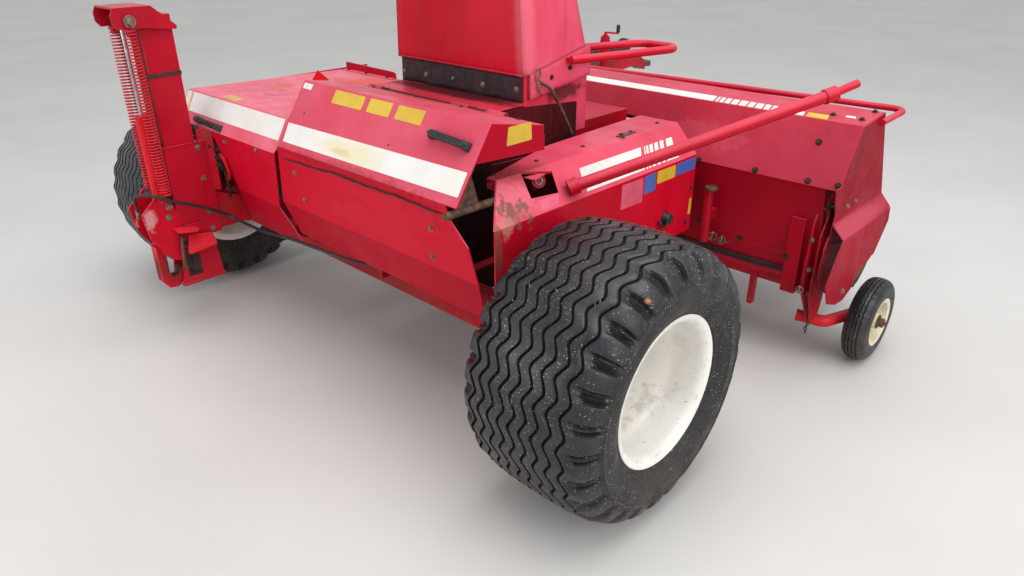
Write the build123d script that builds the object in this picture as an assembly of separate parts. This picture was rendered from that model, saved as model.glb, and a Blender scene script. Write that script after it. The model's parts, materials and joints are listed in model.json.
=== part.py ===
from build123d import *
import math
import os

os.makedirs("parts", exist_ok=True)

# ---------------------------------------------------------------------------
# Trailed precision-chop forage harvester, millimetres, +Z up.
# Machine axes: +X to the right-hand side, +Y in the direction of travel.
# Layout figures are taken from the wheel axle (Y = 0) and the ground (Z = 0);
# SHIFT_X and SHIFT_Y move them so that the origin is the middle of the
# footprint box on the ground.
# ---------------------------------------------------------------------------
SHIFT_X = -15.0
SHIFT_Y = 1540.0

# --- running gear ----------------------------------------------------------
WHEEL_X = 1265.0          # half track
WHEEL_Z = 433.0           # axle height = tyre radius
TYRE_R = 433.0            # 19.0/45-17 implement tyre
TYRE_W2 = 242.0           # half section width
RIM_R = 216.0             # 17 inch bead seat
LIP_R = 238.0
LIP_X = 212.0             # lip plane from the wheel centre
DISC_X = -72.0            # wheel disc, inboard of the wheel centre
SPINDLE_R = 30.0
FIT = 0.05                # radial clearance of a running fit
AXLE_HALF = 975.0         # end of the square axle
AXLE_SIDE = 100.0

# --- right side panel ------------------------------------------------------
SP_X = 950.0              # outer face
SP_FOLD_X = 850.0         # upper fold
SP_REAR_Y, SP_FRONT_Y = -165.0, 945.0
SP_LOW_Z, SP_FOLD_Z, SP_TOP_Z = 520.0, 830.0, 937.0
SHEET = 5.0

# --- rear covers: folds as (Y, Z) -----------------------------------------
COVER_HINGE = (120.0, 1083.0)
COVER_R = ((120.0, 1083.0), (-119.0, 1129.0), (-265.0, 915.0), (-186.0, 645.0), (-157.0, 516.0))
COVER_R_X = (-62.0, 897.0)
HOOD_HINGE = (575.0, 996.0)
HOOD_L = ((560.0, 1000.0), (-190.0, 996.0), (-265.0, 880.0), (-186.0, 610.0), (-150.0, 455.0))

# --- chute -----------------------------------------------------------------
NECK = (-30.0, 620.0, 312.0, 657.0)       # x0, x1, y0, y1 of the fixed neck
FOOT_LOW = (-45.0, 628.0, 300.0, 655.0)   # bottom of the chute foot
FOOT_MID = (-32.0, 608.0, 300.0, 578.0)   # 1.45 m up
FOOT_TOP = (148.0, 448.0, 305.0, 555.0)   # under the turning ring
FOOT_Z = (1170.0, 1450.0, 1850.0)
RING_X, RING_Y = 298.0, 430.0
RING_R = 225.0
SPOUT_W, SPOUT_D = 290.0, 240.0
SPOUT_R = 800.0
SPOUT_STRAIGHT_Z = 2300.0
SPOUT_SWEEP = 100.0
SPOUT_RUN = 500.0

# --- pick-up ---------------------------------------------------------------
PU_X0, PU_X1 = -600.0, 1500.0
PU_PIVOT = (800.0, 660.0)                 # Y, Z of the lift hinge
PU_ARM_X = (-52.0, 602.0)                 # inner faces of the lift arms
HOOD_TOP_REAR = (1100.0, 1002.0)
HOOD_TOP_FRONT = (1278.0, 1022.0)
HOOD_LOW_REAR = (1000.0, 786.0)
REEL_Y, REEL_Z, REEL_R = 1665.0, 330.0, 268.0
BAND_R = 215.0
REEL_X0, REEL_X1 = -500.0, 1400.0          # tined width
AUGER_Y, AUGER_Z, AUGER_R = 1300.0, 590.0, 50.0
GAUGE_Y, GAUGE_R, GAUGE_W2 = 1360.0, 175.0, 48.0
GAUGE_X = 1580.0

# --- trailer hitch tower ---------------------------------------------------
TW_X = -700.0                             # centre plane
TW_Y0, TW_Y1 = -438.0, -313.0             # column, rear and front faces
TW_HALF = 50.0

# --- drawbar ---------------------------------------------------------------
DB_PIVOT = (-960.0, 1000.0)               # X, Y of the vertical pin
DB_HEADING = 11.0                         # degrees to the left at rest
DB_LEN = 3350.0
DB_Z = 560.0


# --- helpers ---------------------------------------------------------------
def box(x0, x1, y0, y1, z0, z1):
    return Pos((x0 + x1) / 2, (y0 + y1) / 2, (z0 + z1) / 2) * Box(abs(x1 - x0), abs(y1 - y0), abs(z1 - z0))


def rod(p, q, r):
    """Round bar from p to q."""
    a, b = Vector(*p), Vector(*q)
    d = b - a
    return Solid.make_cylinder(r, d.length, Plane(origin=a, z_dir=d))


def pipe(p, q, r, bore):
    a, b = Vector(*p), Vector(*q)
    d = b - a
    pl = Plane(origin=a, z_dir=d)
    return Solid.make_cylinder(r, d.length, pl) - Solid.make_cylinder(bore, d.length, pl)


def prism(axis, pts, a, b):
    """Polygon pts in the plane across axis, from a to b along it.
    x: (Y, Z) points, y: (X, Z) points, z: (X, Y) points."""
    if axis == "x":
        vs = [Vector(a, p[0], p[1]) for p in pts]
        d = (1, 0, 0)
    elif axis == "y":
        vs = [Vector(p[0], a, p[1]) for p in pts]
        d = (0, 1, 0)
    else:
        vs = [Vector(p[0], p[1], a) for p in pts]
        d = (0, 0, 1)
    face = Face(Wire.make_polygon(vs, close=True))
    return extrude(face, amount=b - a, dir=d)


def offset_line(pts, t):
    """Polyline moved sideways by t, with mitred corners."""
    out = []
    n = len(pts)
    for i in range(n):
        nn = []
        for j in (i - 1, i):
            if 0 <= j < n - 1:
                dy, dz = pts[j + 1][0] - pts[j][0], pts[j + 1][1] - pts[j][1]
                l = math.hypot(dy, dz)
                nn.append((-dz / l, dy / l))
        if len(nn) == 1:
            m = (nn[0][0] * t, nn[0][1] * t)
        else:
            s = (nn[0][0] + nn[1][0], nn[0][1] + nn[1][1])
            k = 2 * t / (s[0] ** 2 + s[1] ** 2)
            m = (s[0] * k, s[1] * k)
        out.append((pts[i][0] + m[0], pts[i][1] + m[1]))
    return out


def sheet(axis, pts, t, a, b):
    """Folded sheet: the fold line pts is its outer face, t thick."""
    return prism(axis, list(pts) + list(reversed(offset_line(pts, t))), a, b)


def poly_solid(axis, pts, a, b):
    return prism(axis, pts, a, b)


def bent_tube(pts, r, bend):
    """Tube along straight runs joined by tangent arcs."""
    path = FilletPolyline(*[Vector(*p) for p in pts], radius=bend)
    d = Vector(*pts[1]) - Vector(*pts[0])
    return sweep(Plane(origin=Vector(*pts[0]), z_dir=d) * Circle(r), path=path)


def ring_x(profile, cx, cy, cz):
    """Revolve (x, r) points about the X axis through (cx, cy, cz)."""
    face = Face(Wire.make_polygon([Vector(cx + p[0], cy, cz + p[1]) for p in profile], close=True))
    return revolve(face, Axis((cx, cy, cz), (1, 0, 0)), 360)


def mirror_x(shape, about):
    return mirror(shape, about=Plane(origin=(about, 0, 0), z_dir=(1, 0, 0)))


def frustum(low, z0, high, z1):
    """Solid between two level rectangles given as x0, x1, y0, y1."""
    def rect(q, z):
        return Face(Wire.make_polygon([Vector(q[0], q[2], z), Vector(q[1], q[2], z), Vector(q[1], q[3], z), Vector(q[0], q[3], z)], close=True))
    return loft([rect(low, z0), rect(high, z1)], ruled=True)


def inset(q, t):
    return (q[0] + t, q[1] - t, q[2] + t, q[3] - t)


def spin_z(shape, deg, cx, cy):
    return Pos(cx, cy, 0) * Rot(0, 0, deg) * Pos(-cx, -cy, 0) * shape


def spin_x(shape, deg, cy, cz):
    return Pos(0, cy, cz) * Rot(deg, 0, 0) * Pos(0, -cy, -cz) * shape


NODES = {}


def add(name, *shapes):
    s = shapes[0]
    for o in shapes[1:]:
        s = s + o
    NODES[name] = s


# ===========================================================================
# Wheels
# ===========================================================================
TYRE_PROFILE = [(-203, 216.3), (-207, 240), (-228, 268), (TYRE_W2 * -1, 320), (-236, 360), (-224, 390), (-200, 411), (-150, 424), (-75, 431), (0, TYRE_R),
                (75, 431), (150, 424), (200, 411), (224, 390), (236, 360), (TYRE_W2, 320), (228, 268), (207, 240), (203, 216.3)]
# the air side of the carcass, open towards the rim
TYRE_INNER = [(178, 216.3), (184, 250), (208, 275), (222, 320), (215, 360), (190, 385), (120, 398), (0, 405),
              (-120, 398), (-190, 385), (-215, 360), (-222, 320), (-208, 275), (-184, 250), (-178, 216.3)]
RIM_OUT = [(-LIP_X, LIP_R), (-206, LIP_R), (-203, RIM_R), (-150, RIM_R), (-115, 197), (60, 197), (100, RIM_R), (203, RIM_R), (206, LIP_R), (LIP_X, LIP_R)]
RIM_IN = [(LIP_X, 232), (207, 208), (97, 208), (57, 189), (-112, 189), (-147, 208), (-207, 208), (-LIP_X, 232)]
# wheel disc from the barrel in to the hub, columns: offset from the wheel centre, radius
DISC = [(-100, 190), (-88, 190), (DISC_X + 6, 120), (DISC_X + 6, 70), (-45, 70), (-45, SPINDLE_R + FIT), (-170, SPINDLE_R + FIT), (-170, 78), (DISC_X - 6, 78), (DISC_X - 6, 118)]


def wheel(side):
    cx = side * WHEEL_X
    tyre = ring_x([(side * x, r) for x, r in TYRE_PROFILE + TYRE_INNER], cx, 0, WHEEL_Z)
    rim = ring_x([(side * x, r) for x, r in RIM_OUT + RIM_IN], cx, 0, WHEEL_Z)
    disc = ring_x([(side * x, r) for x, r in DISC], cx, 0, WHEEL_Z)
    cap = ring_x([(side * -45, 0), (side * -45, 52), (side * -8, 44), (side * -8, 0)], cx, 0, WHEEL_Z)
    return tyre, rim + disc + cap


for side, tag in ((1, "right"), (-1, "left")):
    t, r = wheel(side)
    NODES["tyre_" + tag] = t
    NODES["rim_" + tag] = r

# axle with its two spindles
axle = box(-AXLE_HALF, AXLE_HALF, -AXLE_SIDE / 2, AXLE_SIDE / 2, WHEEL_Z - AXLE_SIDE / 2, WHEEL_Z + AXLE_SIDE / 2)
for side in (1, -1):
    axle += rod((side * (AXLE_HALF - 5), 0, WHEEL_Z), (side * (WHEEL_X - 176), 0, WHEEL_Z), 46)
    axle += rod((side * (AXLE_HALF - 5), 0, WHEEL_Z), (side * (WHEEL_X - 50), 0, WHEEL_Z), SPINDLE_R)
add("axle", axle)

# ===========================================================================
# Main frame
# ===========================================================================
FRAME_Z0, FRAME_Z1 = 483.5, 563.5
frame = box(-930, 900, 690, 790, 403, 484)                    # front cross beam
# longitudinal beams, columns: x0, x1, y0
for x0, x1, y0 in ((-930, -850, -150), (-250, -180, -130), (640, 700, -120), (840, 900, -100)):
    frame += box(x0, x1, y0, 790, FRAME_Z0, FRAME_Z1)
frame += box(-930, -590, -150, -90, FRAME_Z0, FRAME_Z1)       # rear cross beam at the tower
frame += box(-255, 900, -90, -50, FRAME_Z0, FRAME_Z1)
# tower bracket: two plates reaching rearward to the tower's flange
for x0, x1 in ((TW_X - TW_HALF + 4, TW_X - TW_HALF + 16), (TW_X + TW_HALF - 16, TW_X + TW_HALF - 4)):
    frame += poly_solid("x", [(-293, 440), (-293, 815), (-268, 815), (-262, 600), (-150, 560), (-95, 560), (-95, 440)], x0, x1)
frame += box(-760, -640, -150, -100, 440, 560)
# gland plate where the hitch hose enters
frame += box(330, 338, -140, -60, 470, 530) + rod((322, -110, 495), (350, -110, 495), 13)
add("main_frame", frame)

# drawbar pivot bracket: two shelves with the pin bore between them
bx, by = DB_PIVOT
bracket = box(-1040, -880, 795, 1060, 480, 500) + box(-1040, -880, 795, 1060, 620, 640)
bracket += box(-1040, -850, 780, 810, 480, 640)
bracket -= rod((bx, by, 470), (bx, by, 650), 30)
pin = rod((bx, by, 470), (bx, by, 650), 30) + rod((bx, by, 650), (bx, by, 665), 45) + rod((bx, by, 455), (bx, by, 470), 45)
add("drawbar_bracket", bracket, pin)

# ===========================================================================
# Rotor housing, cutting drum, neck, feed housing
# ===========================================================================
RH = (-44.0, 622.0, -110.0, 600.0)
DRUM_Y, DRUM_Z, DRUM_R = 210.0, 745.0, 255.0
house = poly_solid("x", [(-95, 600), (-95, 900), (20, 1050), (300, 1065), (600, 1040), (600, 566), (380, 445), (60, 445)], RH[0], RH[1])
house -= rod((RH[0] + 12, DRUM_Y, DRUM_Z), (RH[1] - 12, DRUM_Y, DRUM_Z), DRUM_R + 15)
house -= box(NECK[0] + 12, NECK[1] - 12, 330, 560, 780, 1100)
house -= box(NECK[0] + 12, NECK[1] - 12, 400, 620, 585, 800)
# lugs and pin of the rear cover's hinge
HPIN = 5.0
hy, hz = COVER_HINGE
for x0 in (100, 565):
    house += box(x0, x0 + 15, hy - 8, hy + 8, 1050, hz + 6)
house += rod((-5, hy, hz), (730, hy, hz), HPIN)
add("rotor_housing", house)
drum = rod((RH[0] + 30, DRUM_Y, DRUM_Z), (RH[1] - 30, DRUM_Y, DRUM_Z), DRUM_R)
drum += rod((RH[0] - 40, DRUM_Y, DRUM_Z), (RH[1] + 45, DRUM_Y, DRUM_Z), 30)
add("cutting_drum", drum)
NODES["rotor_housing"] = NODES["rotor_housing"] - rod((RH[0] - 60, DRUM_Y, DRUM_Z), (RH[1] + 60, DRUM_Y, DRUM_Z), 30)

neck = box(NECK[0], NECK[1], NECK[2], NECK[3], 930, FOOT_Z[0]) - box(NECK[0] + 8, NECK[1] - 8, NECK[2] + 8, NECK[3] - 8, 900, FOOT_Z[0] + 10)
neck -= poly_solid("x", [(-95, 600), (-95, 900), (20, 1050), (300, 1065), (600, 1040), (600, 566)], RH[0], RH[1])
neck += box(NECK[0] - 6, NECK[1] + 6, 150, NECK[2] + 1, 1070, 1076)
add("chute_neck", neck)

feed = box(-20, 572, 605, 1000, 470, 940) - box(-8, 560, 590, 1010, 520, 860)
# trunnions for the lift arms
py, pz = PU_PIVOT
for x0, x1 in ((-52 - 24, -15), (567, 602 + 24)):
    feed += rod((x0, py, pz), (x1, py, pz), 28)
add("feed_housing", feed)
for name, z, r in (("feed_roller_upper", 765, 78), ("feed_roller_lower", 595, 68)):
    roll = rod((2, 860, z), (550, 860, z), r)
    for k in range(8):
        a = math.radians(45 * k)
        bar = box(2, 550, 860 - 6, 860 + 6, z + r - 3, z + r + 7)
        roll += spin_x(bar, 45 * k, 860, z)
    roll += rod((-7.5, 860, z), (559.5, 860, z), 20)
    add(name, roll)

# gearbox block at the left front corner
gear = box(-830, -560, 560, 800, 590, 830) + rod((-560, 680, 700), (-60, 680, 700), 32)
# posts and pin of the hood's hinge
gy, gz = HOOD_HINGE
for x0 in (-712, -600):
    gear += box(x0, x0 + 12, gy - 8, gy + 8, 820, gz + 6)
gear += rod((-712, gy, gz), (-515, gy, gz), HPIN)
add("main_gearbox", gear)

# ===========================================================================
# Panels
# ===========================================================================
# right side panel: vertical, sloping and level faces with a front wall
sp_line = [(660, SP_TOP_Z), (SP_FOLD_X, SP_TOP_Z), (SP_X, SP_FOLD_Z), (SP_X, SP_LOW_Z)]
panel = sheet("y", sp_line, -SHEET, SP_REAR_Y, SP_FRONT_Y)
panel += poly_solid("y", [(720, 600), (720, SP_TOP_Z - 2), (SP_FOLD_X, SP_TOP_Z - 2), (SP_X - 2, SP_FOLD_Z), (SP_X - 2, 600)], SP_FRONT_Y - SHEET, SP_FRONT_Y)
# level face narrows to the rear, and the sloping face starts further forward
panel -= poly_solid("z", [(600, -200), (815, -200), (811, -60), (702, 333), (685, 652), (675, 946), (600, 946)], SP_TOP_Z - 20, SP_TOP_Z + 20)
panel -= poly_solid("x", [(-300, SP_FOLD_Z + 0.5), (SP_REAR_Y, SP_FOLD_Z + 0.5), (-60, SP_TOP_Z - 5), (-60, 1000), (-300, 1000)], 600, 1000)
# turned-down rear edge of the level face
panel += poly_solid("y", [(812, SP_TOP_Z), (812, SP_TOP_Z - 32), (846, SP_TOP_Z - 32), (848, SP_TOP_Z)], -60, -55)
# service notch across the fold
panel -= poly_solid("z", [(848, 51), (911, 34), (919, 155), (868, 178)], 840, 1000)
add("right_side_panel", panel)

# left side panel, mirror of the right one below the hood
lp_line = [(-905, 985), (-960, 860), (-960, SP_LOW_Z)]
lpanel = sheet("y", lp_line, SHEET, -165, 760)
lpanel += box(-958, -800, -169, -163, 480, 860)
add("left_side_panel", lpanel)

# right rear cover, hinged along its front edge
cov = sheet("x", COVER_R, SHEET, -240, COVER_R_X[1])
# the left edge steps outward below the fold, as an outline in X, Z
cov -= poly_solid("y", [(-400, 300), (-70, 300), (-165, 516), (-222, 645), (COVER_R_X[0], 915), (COVER_R_X[0], 1250), (-400, 1250)], -400, 200)
for xa in (COVER_R_X[0], COVER_R_X[1] - SHEET):
    cov += poly_solid("x", [(108, 1008), (108, 1082), (-119, 1126), (-188, 1026)], xa, xa + SHEET)
cov -= poly_solid("y", [(1000, 912), (850, 912), (850, 862), (897, 780), (1000, 780)], -400, -100)
# knuckles on the hinge pin
cov -= box(-300, 1000, 104, 150, 1055, 1105)
for x0, x1 in ((5, 85), (470, 550), (640, 720)):
    cov += rod((x0, hy, hz), (x1, hy, hz), 9) + box(x0, x1, 92, 114, 1078, 1087)
cov -= rod((-300, hy, hz), (1000, hy, hz), HPIN + FIT)
add("right_rear_cover", cov)
# bare tube under the cover's right end, on a web below the slope
add("cover_tube", rod((870, -60, 885), (870, -283, 888), 12), poly_solid("x", [(-238, 885), (-150, 885), (-192, 1018), (-238, 950)], 866, 874))

# left hood: roof, slope and rear face in one sheet, hinged at the front
hood = sheet("x", HOOD_L, SHEET, -895, -85)
# plan outline of the roof: cut away outside it
hood -= poly_solid("z", [(-895, -180), (-785, 560), (-390, 560), (-85, 400), (-85, 700), (-1000, 700), (-1000, -180)], 900, 1100)
hood -= poly_solid("y", [(-300, 300), (-160, 300), (-160, 455), (-262, 610), (-100, 872), (-85, 900), (0, 900), (0, 300)], -400, 100)
hood -= box(-1000, -590, -400, -100, 300, 878)
for x0, x1 in ((-690, -630), (-580, -520)):
    hood += rod((x0, gy, gz), (x1, gy, gz), 9) + box(x0, x1, 545, 570, 993, 1001)
hood -= rod((-900, gy, gz), (0, gy, gz), HPIN + FIT)
add("left_hood", hood)

# ===========================================================================
# Chute foot, spout, deflector
# ===========================================================================
FT = 5.0
foot = frustum(FOOT_LOW, FOOT_Z[0], FOOT_MID, FOOT_Z[1]) + frustum(FOOT_MID, FOOT_Z[1], FOOT_TOP, FOOT_Z[2])
foot -= frustum(inset(FOOT_LOW, FT), FOOT_Z[0], inset(FOOT_MID, FT), FOOT_Z[1])
foot -= frustum(inset(FOOT_MID, FT), FOOT_Z[1], inset(FOOT_TOP, FT), FOOT_Z[2])
# skirt band round the foot's lower edge, deeper at the front
SKIRT = [(330, 1168), (385, 1181), (655, 1238), (655, 1132), (387, 1091), (330, 1085)]
foot += poly_solid("x", SKIRT, FOOT_LOW[1] - 4, FOOT_LOW[1] + 6)
foot += poly_solid("x", SKIRT, FOOT_LOW[0] - 6, FOOT_LOW[0] + 4)
ring = Solid.make_cylinder(RING_R, 22, Plane(origin=(RING_X, RING_Y, FOOT_Z[2] - 2), z_dir=(0, 0, 1)))
ring -= box(FOOT_TOP[0] + FT, FOOT_TOP[1] - FT, FOOT_TOP[2] + FT, FOOT_TOP[3] - FT, FOOT_Z[2] - 10, FOOT_Z[2] + 40)
add("chute_foot", foot, ring)

# turning spout, pointing rearward at rest
def arc_pts(cy, cz, r, a0, a1, n):
    return [(cy + r * math.cos(math.radians(a0 + (a1 - a0) * i / n)), cz + r * math.sin(math.radians(a0 + (a1 - a0) * i / n))) for i in range(n + 1)]


SP_Z0 = FOOT_Z[2] + 25
cyc, czc = RING_Y - SPOUT_R, SPOUT_STRAIGHT_Z
a1 = SPOUT_SWEEP
dirv = (-math.sin(math.radians(a1)), math.cos(math.radians(a1)))


def sector(ri_, ro_, a, b, low=0.0, run=0.0, n=8):
    """Duct outline (Y, Z) from angle a to b, with straight lengths before and after."""
    ra, rb = math.radians(a), math.radians(b)
    o, i_ = arc_pts(cyc, czc, ro_, a, b, n), arc_pts(cyc, czc, ri_, a, b, n)
    for line in (o, i_):
        if low:
            line.insert(0, (line[0][0] + math.sin(ra) * low, line[0][1] - math.cos(ra) * low))
        if run:
            line.append((line[-1][0] - math.sin(rb) * run, line[-1][1] + math.cos(rb) * run))
    return o + list(reversed(i_))


def flange(deg, t0, t1):
    """Flange round the duct at an angle of the bend, from t0 to t1 along the duct."""
    w, d = SPOUT_W / 2, SPOUT_D / 2
    f = box(RING_X - w - 16, RING_X + w + 16, RING_Y - d - 16, RING_Y + d + 16, czc + t0, czc + t1)
    f -= box(RING_X - w + 2, RING_X + w - 2, RING_Y - d + 2, RING_Y + d - 2, czc - 30, czc + 30)
    return spin_x(f, deg, cyc, czc)


ro, ri = SPOUT_R + SPOUT_D / 2, SPOUT_R - SPOUT_D / 2
WALL = 4.0


def duct(a, b, low, run):
    d = poly_solid("x", sector(ri, ro, a, b, low, run), RING_X - SPOUT_W / 2, RING_X + SPOUT_W / 2)
    return d - poly_solid("x", sector(ri + WALL, ro - WALL, a, b, low + 5, run + 5), RING_X - SPOUT_W / 2 + WALL, RING_X + SPOUT_W / 2 - WALL)


CUT_A, CUT_B = 33.0, 67.0
base = duct(0, CUT_A, SPOUT_STRAIGHT_Z - SP_Z0, 0) + flange(CUT_A, -7, 0)
collar = Solid.make_cylinder(RING_R, 30, Plane(origin=(RING_X, RING_Y, SP_Z0), z_dir=(0, 0, 1)))
collar -= box(RING_X - SPOUT_W / 2 + 2, RING_X + SPOUT_W / 2 - 2, RING_Y - SPOUT_D / 2 + 2, RING_Y + SPOUT_D / 2 - 2, SP_Z0 - 5, SP_Z0 + 40)
add("spout_base", base, collar)
add("spout_bend", duct(CUT_A, CUT_B, 0, 0), flange(CUT_A, 0, 7), flange(CUT_B, -7, 0))
spout = duct(CUT_B, SPOUT_SWEEP, 0, SPOUT_RUN) + flange(CUT_B, 0, 7)

# deflector flap, hinged at the upper edge of the spout's mouth
oy = cyc + ro * math.cos(math.radians(a1)) + dirv[0] * SPOUT_RUN
oz = czc + ro * math.sin(math.radians(a1)) + dirv[1] * SPOUT_RUN
DEF_HINGE = (oy - 18, oz + 12)
nd = 18.0                                   # droop of the flap at rest
top = [(-8, -6), (-150, -2), (-330, -40)]
def droop(p):
    a = math.radians(nd + 10)
    return (DEF_HINGE[0] + p[0] * math.cos(a) - p[1] * math.sin(a), DEF_HINGE[1] + p[0] * math.sin(a) + p[1] * math.cos(a))
flap = sheet("x", [droop(p) for p in top], 4, RING_X - 155, RING_X + 155)
for xa in (RING_X - 155, RING_X + 151):
    flap += poly_solid("x", [droop(p) for p in ((-12, -6), (-150, -2), (-330, -40), (-310, -150), (-120, -190), (-20, -60))], xa, xa + 4)
flap += pipe((RING_X - 155, DEF_HINGE[0], DEF_HINGE[1]), (RING_X - 60, DEF_HINGE[0], DEF_HINGE[1]), 11, 6.05)
flap += pipe((RING_X + 60, DEF_HINGE[0], DEF_HINGE[1]), (RING_X + 155, DEF_HINGE[0], DEF_HINGE[1]), 11, 6.05)
flap_bore = rod((RING_X - 160, DEF_HINGE[0], DEF_HINGE[1]), (RING_X + 160, DEF_HINGE[0], DEF_HINGE[1]), 6.05)
flap -= flap_bore
flap -= rod((RING_X - 57, DEF_HINGE[0], DEF_HINGE[1]), (RING_X + 57, DEF_HINGE[0], DEF_HINGE[1]), 17)
add("spout_deflector", flap)
hinge = rod((RING_X - 160, DEF_HINGE[0], DEF_HINGE[1]), (RING_X + 160, DEF_HINGE[0], DEF_HINGE[1]), 6)
hinge += rod((RING_X - 50, DEF_HINGE[0], DEF_HINGE[1]), (RING_X + 50, DEF_HINGE[0], DEF_HINGE[1]), 11)
lug = poly_solid("x", [(DEF_HINGE[0] + 60, oz - 14), (DEF_HINGE[0] + 60, oz + 8), (DEF_HINGE[0], DEF_HINGE[1] + 8), (DEF_HINGE[0], DEF_HINGE[1] - 8), (DEF_HINGE[0] + 14, oz - 8)], RING_X - 50, RING_X + 50)
add("spout_end", spout, hinge, lug)

# ===========================================================================
# Guards
# ===========================================================================
guard = rod((947, 202, 880), (1425, 950, 1125), 20) + rod((1420, 942, 1122.5), (1464, 1040, 1152), 14)
guard += rod((1408, 924, 1116), (1430, 958, 1128), 25) + rod((935, 185, 872), (952, 210, 884), 28)
add("long_guard_bar", guard)
add("front_loop_guard", bent_tube([(655, 520, 1200), (790, 1030, 1200), (600, 1040, 1200), (442, 649, 1200)], 15, 60), box(622, 664, 515, 550, 1192, 1208))

# ===========================================================================
# Pick-up
# ===========================================================================
end_line = [HOOD_TOP_REAR, HOOD_TOP_FRONT, (1440, 684), (975, 672), (1000, 786)]
hoodp = sheet("x", [HOOD_LOW_REAR, HOOD_TOP_REAR, HOOD_TOP_FRONT, (1386, 795)], -SHEET, PU_X0 + 5, PU_X1 - 5)
# crop opening of the hood's rear face, at the feed throat
hoodp -= box(-40, 590, 900, 1110, 500, 900)
add("pickup_hood", hoodp)


END_OUTLINE = [(1000, 786), (973, 672), (1026, 603), (1004, 563), (939, 447), (989, 362), (1078, 327), (1150, 320), (1224, 345),
               (1222, 411), (1412, 434), (1503, 553), (1490, 619), (1436, 684), HOOD_TOP_FRONT, HOOD_TOP_REAR]


def end_plate(side, xp):
    """Plate that bends outward halfway down, cut to END_OUTLINE."""
    fold = [(xp, 1060), (xp, 678), (xp + side * 30, 608), (xp + side * 30, 300)]
    plate = sheet("y", fold, side * -5, 900, 1560)
    return plate & poly_solid("x", END_OUTLINE, xp - 60, xp + 60)


add("pickup_end_right", end_plate(1, PU_X1))
add("pickup_end_left", end_plate(-1, PU_X0))

# carrying frame: recessed rear plate, lower tube, end uprights, lift arms
pf = sheet("x", [(1012, 786), (1040, 640), (1075, 420)], -6, PU_X0 + 6, PU_X1 - 60)
pf -= box(-40, 590, 900, 1200, 500, 900)
pf += rod((PU_X0 + 20, 1110, 375), (PU_X1 - 68, 1110, 375), 45)
# behind the right end: a channel, a bent plate that carries the gauge wheel, a second lug and their pin
pf += box(1330, 1385, 1022, 1030, 345, 650) + box(1330, 1338, 1022, 1078, 345, 650) + box(1377, 1385, 1022, 1078, 345, 650)
WHEEL_PLATE = [(1010, 640), (1060, 760), (1110, 740), (1101, 623), (1149, 514), (1130, 420), (1150, 300), (1232, 175), (1133, 183), (1010, 367), (996, 452)]
pf += poly_solid("x", WHEEL_PLATE, 1416, 1424)
pf += poly_solid("x", [(1034, 600), (1060, 752), (1110, 735), (1101, 620), (1060, 596)], 1356, 1364)
pf += rod((1350, 1096, 690), (1430, 1096, 690), 10)
# the same plate behind the left end
pf += poly_solid("x", WHEEL_PLATE, PU_X0 + 76, PU_X0 + 84)
# rolled guard between the bent plate and the right end
pf += rod((1450, 1056, 566), (1450, 1215, 530), 26) + poly_solid("x", [(1056, 566), (1215, 530), (1212, 450), (1150, 392), (1100, 420), (1060, 480)], 1446, 1452)
pf += box(1420, 1456, 1100, 1125, 470, 490)
# post with a cap
pf += rod((1000, 985, 470), (1000, 985, 694), 19) + box(990, 1010, 985, 1052, 560, 600)
for xa, xb in ((PU_ARM_X[0] - 14, PU_ARM_X[0]), (PU_ARM_X[1], PU_ARM_X[1] + 14)):
    arm = poly_solid("x", [(760, 625), (760, 700), (840, 710), (1030, 700), (1085, 640), (1085, 400), (1030, 400), (1000, 600), (840, 610)], xa, xb)
    pf += arm - rod((xa - 5, py, pz), (xb + 5, py, pz), 28 + FIT)

# floor under the auger and stripper bands round the reel
floor = sheet("x", [(1062, 486), (1120, 432), (1230, 412), (1380, 426), (1416, 452)], -5, PU_X0 + 30, PU_X1 - 90)
add("pickup_frame", pf, floor)
BAND_N = 20
bands = None
bx0, bx1 = REEL_X0 + 30, REEL_X1 - 30
pitch = (bx1 - bx0) / BAND_N
TAIL = (1440.0, 505.0)                        # bar that carries the bands' rear ends, outside the tines
for i in range(BAND_N + 1):
    xb = bx0 + i * pitch
    outer = arc_pts(REEL_Y, REEL_Z, BAND_R, -75, 108, 14) + [(TAIL[0] - 6, TAIL[1] + 8)]
    inner = arc_pts(REEL_Y, REEL_Z, BAND_R - 6, -75, 108, 14) + [(TAIL[0] - 2, TAIL[1] + 1)]
    b = prism("x", outer + list(reversed(inner)), xb - 18, xb + 18)
    bands = b if bands is None else bands + b
bands += rod((PU_X0 + 12, TAIL[0], TAIL[1]), (PU_X1 - 12, TAIL[0], TAIL[1]), 10)
add("stripper_bands", bands)

add("pickup_guard_tube", bent_tube([(1511, 1225, 995), (1511, 1470, 1000), (-611, 1470, 972), (-611, 1225, 985)], 12, 55))

reel = rod((PU_X0 + 35, REEL_Y, REEL_Z), (PU_X1 - 60, REEL_Y, REEL_Z), 40)
for xa in (REEL_X0, REEL_X1 - 6):
    reel += rod((xa, REEL_Y, REEL_Z), (xa + 6, REEL_Y, REEL_Z), 150)
for k in range(4):
    a = math.radians(90 * k + 20)
    cy_, cz_ = REEL_Y + 132 * math.cos(a), REEL_Z + 132 * math.sin(a)
    reel += rod((REEL_X0, cy_, cz_), (REEL_X1, cy_, cz_), 14)
add("pickup_reel", reel)
tines = None
for k in range(4):
    a = 90 * k + 20
    for i in range(BAND_N):
        xt = bx0 + (i + 0.5) * pitch
        t = box(xt - 14, xt - 8, REEL_Y + 122, REEL_Y + REEL_R, REEL_Z - 3, REEL_Z + 3) + box(xt + 8, xt + 14, REEL_Y + 122, REEL_Y + REEL_R, REEL_Z - 3, REEL_Z + 3)
        t = spin_x(t, a, REEL_Y, REEL_Z)
        tines = t if tines is None else tines + t
add("pickup_tines", tines)

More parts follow.
